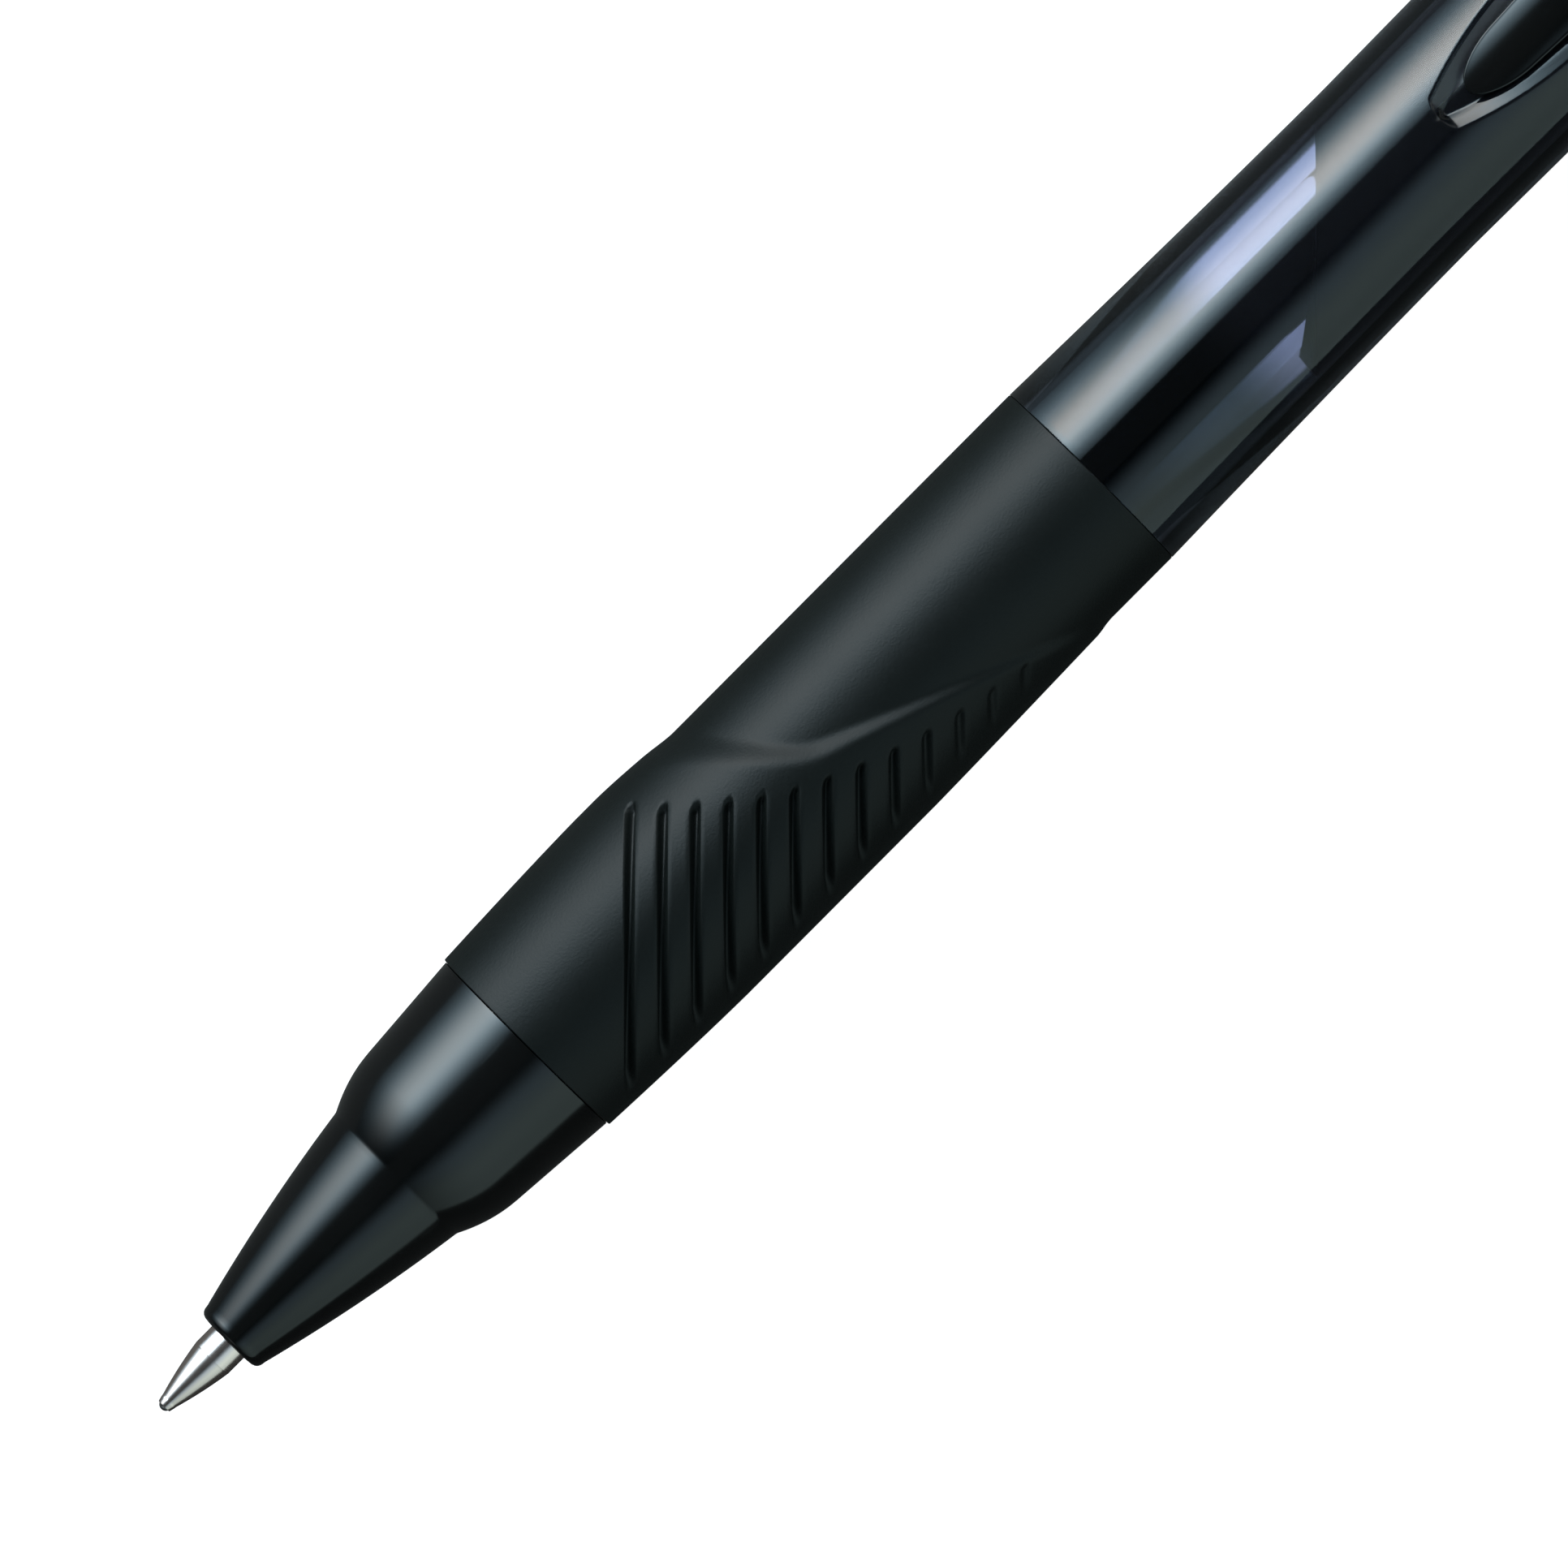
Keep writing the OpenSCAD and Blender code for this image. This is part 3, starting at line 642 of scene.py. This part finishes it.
def black_gloss(name):
    """Polished black plastic: near black, glossy, with a faint flow in the gloss and hairline
    scratches that run mostly along the pen."""
    plastic = Finish(name)
    flow = plastic.grain(0.18, 2.0)
    hair = plastic.grain(3.0, 1.0, stretch=(0.06, 1, 1)).ramp(0.62, 0.78)
    return plastic.principled(
        Base_Color=plastic.mix(flow, (0.0016, 0.0018, 0.0019, 1), (0.0032, 0.0034, 0.0034, 1)),
        Roughness=flow * 0.06 + hair * 0.06 + 0.12,
        Normal=plastic.bump(flow + hair * 0.02, 0.006),
        IOR=1.5,
    )


black_plastic = black_gloss("black_plastic")
nose_chain = outline(
    (NOSE_FRONT, MOUTH_R, 0.08),
    (NOSE_FRONT, NOSE_LIP_R - 0.01, 0.5),
    curve((NOSE_FRONT + 0.55, NOSE_LIP_R + 0.03), (CREASE - 0.06, CREASE_R - 0.01), 0.3, 40),
    curve((CREASE + 0.04, CREASE_R + 0.015), (STEP_REAR, STEP_R), 0.7, 30),
    curve((STEP_REAR + 0.2, STEP_R + 0.02), (NOSE_REAR - 0.05, NOSE_REAR_R - 0.002), 0.0, 16),
    (NOSE_REAR, NOSE_REAR_R, 0.03),
    (NOSE_REAR, SOCKET_WALL, 0.1),
    (SOCKET_FRONT, SOCKET_WALL, 0.1),
    (SOCKET_FRONT, SPRING_ROOM, 0.1),
    (COIL_FRONT - 0.02, SPRING_ROOM, 0.1),
    (COIL_FRONT - 0.02, MOUTH_R, 0.1),
    step=0.4,
)
nose_cone = piece("nose_cone_polished", black_plastic, turned(nose_chain, 256))
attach(nose_cone, "nose")
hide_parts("nose_cone")

# ---- Grip ----
# A black rubber sleeve moulded over the barrel. Its front is a raised zone that ends in an S-shaped
# ridge, with slanting grooves that run down to the pen's right and round below it.
GRIP_FRONT, GRIP_REAR = reach("grip_sleeve")
GRIP_R = girth("grip_sleeve")
GRIP_EDGE = 0.05
SMOOTH_R = 5.9
GRIP_BORE = 4.93
CREST = GRIP_FRONT + 9.9
FALL = GRIP_FRONT + 23.4
FRONT_DROP = 0.32
RIDGE_START = GRIP_FRONT + 14.4
RIDGE_BEND = 7
RIDGE_LEFT = 4
RIDGE_LEAN = 0.38
RIDGE_MIDDLE = 5.9
GROOVE_START = GRIP_FRONT + 12.2
GROOVE_FALL = 10.5
GROOVE_LOW = 6.15
GROOVE_DECAY = 9.14
GROOVES = 13
GROOVE_PITCH = 2.38
GROOVE_WIDTH = 0.45
GROOVE_DEPTH = 0.45
PATTERN_R = 6.2


def smooth(share):
    """The S curve 3 t squared minus 2 t cubed, held at 0 and 1 outside its range."""
    share = np.clip(share, 0, 1)
    return share * share * (3 - 2 * share)


def raised_radius(station):
    """Radius of the raised zone: it swells to the crest, stays level, and sinks to the smooth one."""
    before = np.clip((CREST - station) / (CREST - GRIP_FRONT), 0, None)
    after = np.clip((station - FALL) / (GRIP_REAR - FALL), 0, None)
    return GRIP_R - FRONT_DROP * before**1.4 - (GRIP_R - SMOOTH_R) * after**1.2


def ridge_across(station):
    """Sideways place of the ridge: an S from the pen's left to its middle, on a line that leans to
    the right."""
    past = station - RIDGE_START
    return RIDGE_LEFT * (1 - smooth(past / RIDGE_BEND)) - RIDGE_LEAN * (past - RIDGE_MIDDLE)


def groove_end_across(station):
    """Sideways place where the grooves end: it falls off exponentially towards the rear."""
    return GROOVE_FALL * np.exp(-(station - GROOVE_START) / GROOVE_DECAY) - GROOVE_LOW


def groove_end(line):
    """Distance from the pen's right side to the end of the groove that starts there at station
    line, where that groove's slanting line meets the end curve, found by Newton's method."""
    station = np.full_like(line, GROOVE_START)
    for _ in range(8):
        across = groove_end_across(station)
        gap = station - across - (line + PATTERN_R)
        station = station - gap / (1 + (across + GROOVE_LOW) / GROOVE_DECAY)
    return station - line


FIRST_GROOVE = GROOVE_START - groove_end_across(GROOVE_START) - PATTERN_R


def groove_depth(line, off):
    """Depth below the raised zone: a round-ended channel with steep sides along each groove line.
    It turns shallow towards the rear, and runs out just short of the pen's side."""
    number = np.clip(np.round((line - FIRST_GROOVE) / GROOVE_PITCH), 0, GROOVES - 1)
    centre = FIRST_GROOVE + number * GROOVE_PITCH
    beside = (line - centre) / math.sqrt(2)
    past = np.clip(off - groove_end(centre), 0, None) * math.sqrt(2)
    distance = np.hypot(beside, past)
    fade = 1 - 0.75 * smooth((number - 6) / 6.5)
    run_out = smooth((off - 0.2) / 0.9)
    return GROOVE_DEPTH * fade * run_out * smooth((GROOVE_WIDTH / 2 + 0.1 - distance) / 0.3)


def grip_lines():
    """Lines that the mesh is built on, by the station where each meets the pen's right side: close
    together across each groove, and evenly spaced elsewhere."""
    near = np.array([0, 0.1, 0.19, 0.24, 0.29, 0.34, 0.39, 0.46])
    between = np.linspace(near[-1], GROOVE_PITCH - near[-1], 6)[1:-1]
    period = np.concatenate([-near[:0:-1], near, between])
    grooved = (FIRST_GROOVE + GROOVE_PITCH * np.arange(GROOVES)[:, None] + period).ravel()
    fan = np.linspace(GRIP_FRONT + GRIP_EDGE, grooved[0], 44)[:-1]
    rear = np.linspace(grooved[-1], GRIP_REAR - GRIP_EDGE, 26)[1:]
    return np.concatenate([fan, grooved, rear])


def grip_rings(around=270):
    """Points of the grip's outside. Each line follows the grooves at 45 degrees across the pen, then
    bends round past their end until it lies across the pen; the first and last lines lie across it
    all the way. The radius blends between the smooth and the raised zone over the ridge."""
    angle = np.linspace(0, 2 * np.pi, around, endpoint=False)[None, :]
    line = grip_lines()[:, None]
    off = PATTERN_R * (1 + np.sin(angle))
    fan_start = GRIP_FRONT + GRIP_EDGE
    fan_end = GRIP_FRONT + 0.95
    rear_start = GRIP_REAR - 10
    rear_end = GRIP_REAR - GRIP_EDGE
    left_first = fan_end + 2 * PATTERN_R
    left = left_first + (rear_end - left_first) * (line - fan_end) / (rear_end - fan_end)
    most = np.clip(left - line, 1e-3, None)
    straight = (groove_end(line) + 0.5) * (1 - smooth((line - rear_start) / 9))
    straight = np.clip(straight, 0, 0.97 * most)
    rest = most - straight
    bent = straight + rest * (1 - np.exp(-np.clip(off - straight, 0, None) / rest))
    share = np.clip((line - fan_start) / (fan_end - fan_start), 0, 1)
    station = line + share * np.where(off < straight, off, bent)
    radius = np.full_like(station, PATTERN_R)
    for _ in range(3):
        across = radius * np.sin(angle)
        bend = np.clip((station - RIDGE_START) / RIDGE_BEND, 0, 1)
        slant = RIDGE_LEAN + 6 * RIDGE_LEFT / RIDGE_BEND * bend * (1 - bend)
        width = 0.45 + 1.8 * np.exp(-np.clip(station - RIDGE_START, 0, None) / 8)
        inside = (ridge_across(station) - across) / np.sqrt(1 + slant**2) / width
        raised = smooth(inside + 0.5)
        radius = SMOOTH_R + raised * (raised_radius(station) - SMOOTH_R)
        radius = np.where(station < CREST, np.minimum(raised_radius(station), radius), radius)
    radius = radius - groove_depth(line, off) * smooth(inside * 2)
    return station, radius, angle


def grip_shell():
    """The grip's outside, its rounded ends and its bore, as rings that close on themselves."""
    station, radius, angle = grip_rings()
    turn = np.radians(np.linspace(0, 90, 6))[:-1, None]
    inset = GRIP_EDGE * (1 - np.cos(turn)) + 0 * angle
    drop = GRIP_EDGE * (1 - np.sin(turn))
    bore = np.linspace(GRIP_REAR, GRIP_FRONT, 12)[:, None] + 0 * angle
    stations = np.concatenate([GRIP_FRONT + inset, station, GRIP_REAR - inset[::-1], bore])
    radii = np.concatenate([
        radius[:1] - drop,
        radius,
        radius[-1:] - drop[::-1],
        np.full_like(bore, GRIP_BORE),
    ])
    return shell(place(stations, radii * np.sin(angle), radii * np.cos(angle)), closed=True)


grip_rubber = Finish("grip_rubber")
skin = grip_rubber.grain(7, 3.0)
rubbed = grip_rubber.grain(0.16, 3.0)
rubber = grip_rubber.principled(
    Base_Color=grip_rubber.mix(rubbed, (0.0020, 0.0031, 0.0029, 1), (0.0033, 0.0047, 0.0044, 1)),
    Roughness=rubbed * 0.1 + 0.4,
    Specular_IOR_Level=0.19,
    Normal=grip_rubber.bump(skin, 0.012),
)
grip = piece("grip_moulded", rubber, grip_shell())
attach(grip, "barrel_body")
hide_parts("grip_sleeve")

# ---- Barrel ----
# Injection-moulded clear plastic with a smoke tint, polished. Its wall is thick and dark behind the
# grip and thins towards the rear. A boat-shaped pocket on top takes the clip's nose; the pocket's
# left wall is satin.
BARREL_FRONT = GRIP_REAR + 0.02
SPIGOT_FRONT, BARREL_REAR = reach("barrel")
BARREL_END_R = girth("barrel")
WAIST = 90
WAIST_R = 5.56
FRONT_BORE = 3.6
REAR_BORE = 4.7
CORE_R = 4.9
THREAD_R = 4.6
THREAD_PITCH = 1.1
POCKET_FRONT = reach("clip")[0] - 2.05
POCKET_NOSE = 8
POCKET_POINT = 0.4
POCKET_BLUNT = 0.9
POCKET_HALF = 2.65
POCKET_DEPTH = 0.6
POCKET_WALL = 0.85
LINE_HALF = 0.25


def barrel_radius(station):
    """A waist between two fuller ends: a power curve in front of it and a straight line behind."""
    front = np.clip((WAIST - station) / (WAIST - BARREL_FRONT), 0, None)
    rear = np.clip((station - WAIST) / (BARREL_REAR - WAIST), 0, None)
    return WAIST_R + (BARREL_END_R - WAIST_R) * (0.87 * front**1.5 + rear)


def pocket_half(station):
    """Half width of the pocket's outline: a rounded blunt end in front, then sides that bow out as a
    power curve and run on straight."""
    share = np.clip((station - POCKET_FRONT) / POCKET_NOSE, 0, 1)
    blunt = np.clip((station - POCKET_FRONT) / POCKET_POINT, 0, 1)
    bowed = POCKET_BLUNT + (POCKET_HALF - POCKET_BLUNT) * (1 - (1 - share) ** 1.9)
    return bowed * np.sqrt(1 - (1 - blunt) ** 2)


def pocket_depth(station, across):
    """Sloping walls down from the outline, then an even floor that runs out under the clip."""
    half = pocket_half(station)
    slope = (pocket_half(station + 0.01) - pocket_half(station - 0.01)) / 0.02
    inside = (half - np.abs(across)) / np.sqrt(1 + slope**2)
    wall = np.clip(inside / POCKET_WALL, 0, 1)
    wall = wall + 0.08 * np.sin(2 * np.pi * wall) * wall * (1 - wall)
    run_out = 1 - smooth((station - POCKET_FRONT - 11) / 5)
    return POCKET_DEPTH * wall * run_out


def barrel_shell():
    """Rings from the spigot over the outside to the rear edge and back through the bore. On top,
    the lines along the pen spread with the pocket's outline, so that its edge falls on a line."""
    teeth = [
        (SPIGOT_FRONT + 0.5 + (turn + part) * THREAD_PITCH, THREAD_R - low, 0.04)
        for turn in range(4)
        for part, low in ((0, 0.35), (0.25, 0.02), (0.45, 0.02), (0.7, 0.35))
    ]
    spigot = outline(
        (SPIGOT_FRONT, FRONT_BORE, 0.1),
        (SPIGOT_FRONT, THREAD_R - 0.3, 0.15),
        *teeth,
        (GRIP_FRONT - 0.05, THREAD_R - 0.3, 0.02),
        (GRIP_FRONT - 0.05, CORE_R, 0.02),
        (BARREL_FRONT, CORE_R, 0.02),
        (BARREL_FRONT, BARREL_END_R - 0.15, 0.0),
        closed=False,
    )
    edge = 0.04
    outside = np.concatenate([
        np.array([0.0, 0.2, 0.5, 1]) * edge + BARREL_FRONT,
        np.linspace(BARREL_FRONT + 0.5, POCKET_FRONT, 50),
        POCKET_FRONT + POCKET_NOSE * np.linspace(0.08, 1, 44) ** 2.6,
        np.linspace(POCKET_FRONT + POCKET_NOSE + 0.4, POCKET_FRONT + 17, 28),
        np.linspace(POCKET_FRONT + 18, BARREL_REAR - 0.1, 18),
    ])
    short = np.clip(1 - (outside - BARREL_FRONT) / edge, 0, 1)
    drop = edge * (1 - np.sqrt(1 - short**2))
    outside = np.stack([outside, barrel_radius(outside) - drop], axis=1)
    inside = outline(
        (BARREL_REAR, BARREL_END_R - 0.05, 0.04),
        (BARREL_REAR, REAR_BORE, 0.1),
        (BARREL_FRONT + 10.3, REAR_BORE, 2.0),
        (BARREL_FRONT + 1.3, FRONT_BORE, 1.0),
        (SPIGOT_FRONT + 0.3, FRONT_BORE, 0.0),
        closed=False,
        step=1.5,
    )
    chain = np.concatenate([spigot, outside, inside])
    is_outside = np.zeros((len(chain), 1), bool)
    is_outside[len(spigot):len(spigot) + len(outside)] = True
    station, radius = chain[:, :1], chain[:, 1:]
    half = np.where(is_outside, np.maximum(pocket_half(station), LINE_HALF), LINE_HALF)
    brim = np.arcsin(half / radius)
    top = np.linspace(-1, 1, 35)[None, :]
    top = np.sign(top) * (1 - (1 - np.abs(top)) ** 1.15)
    rest = np.linspace(0, 1, 194)[1:-1][None, :]
    angle = np.concatenate([brim * top, brim + (2 * np.pi - 2 * brim) * rest], axis=1)
    across = radius * np.sin(angle)
    on_top = is_outside & (np.cos(angle) > 0)
    radius = radius - np.where(on_top, pocket_depth(station, across), 0)
    return shell(place(station, radius * np.sin(angle), radius * np.cos(angle)), closed=True)


smoke_plastic = Finish("smoke_plastic")
haze = smoke_plastic.grain(0.15, 2.0)
thin = smoke_plastic.along("X").ramp(75, 80)
slant = smoke_plastic.node("LayerWeight", sockets={"Blend": 0.5}, output="Facing")
tint = smoke_plastic.mix(thin, (0.16, 0.21, 0.27, 1), (0.50, 0.55, 0.72, 1))
hair = smoke_plastic.grain(3.0, 1.0, stretch=(0.05, 1, 1)).ramp(0.64, 0.8)
side = smoke_plastic.along("Y")
height = smoke_plastic.along("Z")
from_axis = smoke_plastic.math("SQRT", side * side + height * height)
satin = from_axis.ramp(5.53, 5.46) * from_axis.ramp(4.78, 4.86) * side.ramp(0.2, 0.8)
satin = satin * smoke_plastic.along("X").ramp(POCKET_FRONT - 0.5, POCKET_FRONT)
smoke = smoke_plastic.principled(
    Base_Color=smoke_plastic.mix(slant.ramp(0.40, 0.47), tint, (0.006, 0.009, 0.01, 1)),
    Roughness=haze * 0.03 + hair * 0.04 + 0.05 + satin * 0.5,
    Normal=smoke_plastic.bump(haze + hair * 0.02, 0.002),
    IOR=1.49,
    Transmission_Weight=0.996,
    Coat_Weight=satin,
    Coat_Roughness=0.4,
    Coat_IOR=1.55,
)
barrel = piece("barrel_smoke", smoke, barrel_shell())
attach(barrel, "barrel_body")
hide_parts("barrel")

# ---- Cam sleeve ----
# A satin black liner inside the barrel with a slanting front edge, which is what makes the rear of
# the barrel look black. Slots between its lands guide the ribs of the rotor and of the plunger.
SLEEVE_FRONT, SLEEVE_REAR = reach("cam_sleeve")
SLEEVE_R = girth("cam_sleeve")
LAND_R = 3.4
SLOT_R = 4.25
SLOT_HALF = 0.65
SLEEVE_MIDDLE = 84
SLEEVE_SLANT = 1.05
SLEEVE_EDGE = 0.12
CHAMBER_FRONT = 103
LAND_FRONT = 115.1


def sleeve_shell(around=240):
    """Rings over the outside and back through the bore. The front edge is the further back of a
    square cut and a slanting one, whose station grows with the sideways place; the bore is wide in
    the chamber, and behind it wide only in the slots."""
    angle = np.linspace(0, 2 * np.pi, around, endpoint=False)[None, :]
    cut = np.maximum(SLEEVE_FRONT, SLEEVE_MIDDLE + SLEEVE_SLANT * SLEEVE_R * np.sin(angle))
    turn = np.radians(np.linspace(90, 0, 5))[:, None]
    lip = cut + SLEEVE_EDGE * (1 - np.sin(turn))
    lip_r = SLEEVE_R - SLEEVE_EDGE * (1 - np.cos(turn)) + 0 * angle
    behind_lip = cut + SLEEVE_EDGE
    outside = behind_lip + (SLEEVE_REAR - behind_lip) * np.linspace(0, 1, 30)[1:, None]
    in_slot = np.abs(LAND_R * np.sin(2 * angle)) / 2 < SLOT_HALF
    slotted = np.where(in_slot, SLOT_R, LAND_R)
    behind = np.array([SLEEVE_REAR, LAND_FRONT + 0.02])[:, None] + 0 * angle
    chamber = np.array([LAND_FRONT, CHAMBER_FRONT + 0.02])[:, None] + 0 * angle
    bore = behind_lip + (CHAMBER_FRONT - behind_lip) * np.linspace(1, 0, 24)[:, None]
    stations = np.concatenate([lip, outside, behind, chamber, bore])
    radii = np.concatenate([
        lip_r,
        np.full_like(outside, SLEEVE_R),
        slotted,
        slotted,
        np.full_like(chamber, SLOT_R),
        np.full_like(bore, LAND_R),
    ])
    return shell(place(stations, radii * np.sin(angle), radii * np.cos(angle)), closed=True)


sleeve_plastic = moulded("sleeve_plastic", (0.0026, 0.0029, 0.0029), 0.45, 0.0008, Specular_IOR_Level=0.3)
cam_sleeve = piece("cam_sleeve_liner", sleeve_plastic, sleeve_shell())
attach(cam_sleeve, "barrel_body")
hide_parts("cam_sleeve")

# ---- Rotor and plunger ----
# White acetal cams that turn and push the refill. They work out of sight inside the sleeve and keep
# their CAD shape.
dress("rotor", white_plastic)
dress("plunger", white_plastic)

# ---- Knob ----
# Polished black plastic, pressed onto the plunger's stem. Its end is slightly dished inside a
# rounded rim, and a small mark stays where the plastic was let into the mould.
KNOB_FRONT, KNOB_REAR = reach("knob")
KNOB_R = girth("knob")
STEM_HOLE_R = 2.58
STEM_HOLE_END = KNOB_FRONT + 10.1
knob_chain = outline(
    (STEM_HOLE_END, 0, 0),
    (STEM_HOLE_END, STEM_HOLE_R, 0.1),
    (KNOB_FRONT, STEM_HOLE_R, 0.1),
    (KNOB_FRONT, KNOB_R, 0.2),
    (KNOB_REAR, KNOB_R, 1.1),
    (KNOB_REAR, 2.7, 0.3),
    (KNOB_REAR - 0.18, 2.2, 0.3),
    (KNOB_REAR - 0.26, 0.62, 0.1),
    (KNOB_REAR - 0.2, 0.5, 0.08),
    (KNOB_REAR - 0.2, 0, 0),
    closed=False,
    step=0.4,
)
knob = piece("knob_polished", black_plastic, turned(knob_chain, 192))
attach(knob, "knob")
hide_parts("knob")

# ---- Rear collar ----
# Polished black plastic, pressed into the barrel's rear. It guides the knob, and two cheeks on top
# hold the clip's knuckle in a notch between them.
COLLAR_FRONT, COLLAR_REAR = reach("rear_collar")
GUIDE_R = KNOB_R + 0.06
HEAD_FRONT = BARREL_REAR + 0.05
CLIP_HALF = girth("clip")
HINGE = BARREL_REAR + 2.6
HINGE_UP = 6.55
KNUCKLE_R = 1.25
NOTCH_HALF = CLIP_HALF + 0.1
NOTCH_R = KNUCKLE_R + 0.15
CHEEK_OUT = CLIP_HALF + 1
CHEEK_LOW = 4.2
CHEEK_UP = HINGE_UP + 1.28
CHEEK_FRONT = HEAD_FRONT + 0.05
CHEEK_REAR = COLLAR_REAR - 0.95
CHEEK_EDGE = 0.22


def collar_ring():
    """A turned ring whose top is cut away by the knuckle's room: inside the notch's width, no point
    stands higher than the underside of a cylinder about the hinge. Lines follow the notch's sides."""
    head = outline(
        (COLLAR_FRONT, GUIDE_R, 0.1),
        (COLLAR_FRONT, SLEEVE_R, 0.2),
        (HEAD_FRONT, SLEEVE_R, 0.02),
        (HEAD_FRONT, BARREL_END_R, 0.08),
        curve((HEAD_FRONT + 0.45, BARREL_END_R), (COLLAR_REAR - 0.7, BARREL_END_R - 0.7), -1.0, 30),
        (COLLAR_REAR, BARREL_END_R - 0.8, 0.55),
        (COLLAR_REAR, GUIDE_R, 0.12),
        step=0.3,
    )
    station, radius = head[:, :1], head[:, 1:]
    brim = np.arcsin(np.clip(NOTCH_HALF / radius, 0, 0.95))
    inner = np.linspace(-1, 1, 21)[None, :]
    rest = np.linspace(0, 1, 162)[1:-1][None, :]
    angle = np.concatenate([brim * inner, brim + (2 * np.pi - 2 * brim) * rest], axis=1)
    under = HINGE_UP - np.sqrt(np.clip(NOTCH_R**2 - (station - HINGE) ** 2, 0, None))
    line = np.arange(angle.shape[1])
    in_notch = (line > 0) & (line < 20) & (np.abs(station - HINGE) < NOTCH_R)
    in_notch = in_notch & (radius > GUIDE_R + 0.3)
    radius = np.where(in_notch, np.minimum(radius, under / np.cos(angle)), radius)
    return shell(place(station, radius * np.sin(angle), radius * np.cos(angle)), closed=True)


def plate(loop, low, high, edge, steps=5):
    """A plate between two sideways places: its (station, up) outline is drawn in by the edge
    rounding at both faces, towards each point's inner side."""
    ahead = np.roll(loop, -1, axis=0) - np.roll(loop, 1, axis=0)
    inward = np.stack([-ahead[:, 1], ahead[:, 0]], axis=1) / np.hypot(*ahead.T)[:, None]
    turn = np.radians(np.linspace(0, 90, steps))
    draw = edge * (1 - np.sin(turn))
    step = edge * (1 - np.cos(turn))
    draw = np.concatenate([draw, draw[::-1]])
    across = np.concatenate([low + step, high - step[::-1]])
    moved = loop[None] + inward[None] * draw[:, None, None]
    return shell(place(moved[..., 0], across[:, None], moved[..., 1]))


cheek_loop = outline(
    (CHEEK_FRONT, CHEEK_LOW, 0.1),
    (CHEEK_REAR, CHEEK_LOW, 0.1),
    (CHEEK_REAR, HINGE_UP - 1.2, 0.5),
    (HEAD_FRONT + 4.5, CHEEK_UP, 0.9),
    (HEAD_FRONT + 1.3, CHEEK_UP, 0.9),
    (CHEEK_FRONT, HINGE_UP, 0.5),
    step=0.25,
)
rear_collar = piece(
    "rear_collar_polished",
    black_plastic,
    collar_ring(),
    plate(cheek_loop, NOTCH_HALF, CHEEK_OUT, CHEEK_EDGE),
    plate(cheek_loop, -CHEEK_OUT, -NOTCH_HALF, CHEEK_EDGE),
)
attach(rear_collar, "barrel_body")
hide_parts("rear_collar")

# ---- Clip ----
# Polished black plastic, one springy arm with a crowned back. Its end is narrow and thin and lies
# in the barrel's pocket; its rear is a knuckle between the collar's cheeks.
CLIP_FRONT = reach("clip")[0]
CLIP_TOP = 8.8
CLIP_THICK = 1.25
END_TOP = 5.6
END_THICK = 0.5
END_HALF = 1.42
END_LEN = 3.2
LEVEL_LEN = 3.5
CLIMB_LEN = 17.5
CLIP_CROWN = 5.5
CLIP_EDGE = 0.08


def clip_shell():
    """Rings across the arm. Each has a top that is crowned like the barrel, small rounded edges,
    upright sides and a flat underside. Seen from above the end is a quarter ellipse; seen from the
    side the arm lies level with the barrel, then climbs and thickens on an S curve."""
    nose = np.radians(np.linspace(1.5, 90, 30))
    station = np.concatenate([
        CLIP_FRONT + END_LEN * (1 - np.cos(nose)),
        np.linspace(CLIP_FRONT + LEVEL_LEN, HINGE - 0.2, 90),
        HINGE + KNUCKLE_R * np.sin(np.radians(np.linspace(0, 84, 16))),
    ])[:, None]
    front = np.clip(1 - (station - CLIP_FRONT) / END_LEN, 0, 1)
    half = END_HALF * np.sqrt(1 - front**2)
    half = half + (CLIP_HALF - END_HALF) * np.clip((station - CLIP_FRONT - 1) / 22, 0, 1)
    climb = smooth((station - CLIP_FRONT - LEVEL_LEN) / CLIMB_LEN)
    top = END_TOP + (CLIP_TOP - END_TOP) * climb - 0.3 * front**4
    thick = END_THICK + (CLIP_THICK - END_THICK) * climb - 0.36 * front**4
    under = top - thick
    near = smooth((station - HINGE + 4) / 4)
    top = top + (HINGE_UP + KNUCKLE_R - top) * near
    under = under + (HINGE_UP - KNUCKLE_R - under) * near
    past = np.sqrt(1 - np.clip((station - HINGE) / KNUCKLE_R, 0, 1) ** 2)
    top = np.where(station > HINGE, HINGE_UP + KNUCKLE_R * past, top)
    under = np.where(station > HINGE, HINGE_UP - KNUCKLE_R * past, under)
    turn = np.radians(np.linspace(0, 90, 6))
    sine, cosine = np.sin(turn), np.cos(turn)
    level = np.zeros(27)
    share = np.concatenate([np.linspace(-1, 1, 27), np.ones(12), np.linspace(1, -1, 27), -np.ones(12)])
    out = np.concatenate([level, sine, cosine, level, -sine, -cosine])
    rise = np.concatenate([level + 1, cosine, -sine, level - 1, -cosine, sine])
    is_top = np.repeat([True, False, True], [33, 39, 6])
    edge = np.minimum(CLIP_EDGE, 0.45 * np.minimum(half, top - under))
    across = share * (half - edge) + out * edge
    crown = (CLIP_CROWN - np.sqrt(CLIP_CROWN**2 - across**2)) * (1 - near)
    crown = np.minimum(crown, 0.5 * (top - under))
    up = np.where(is_top, top - crown - edge, under + edge) + rise * edge
    return shell(place(station, across, up))


clip = piece("clip_sprung", black_plastic, clip_shell())
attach(clip, "clip")
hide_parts("clip")
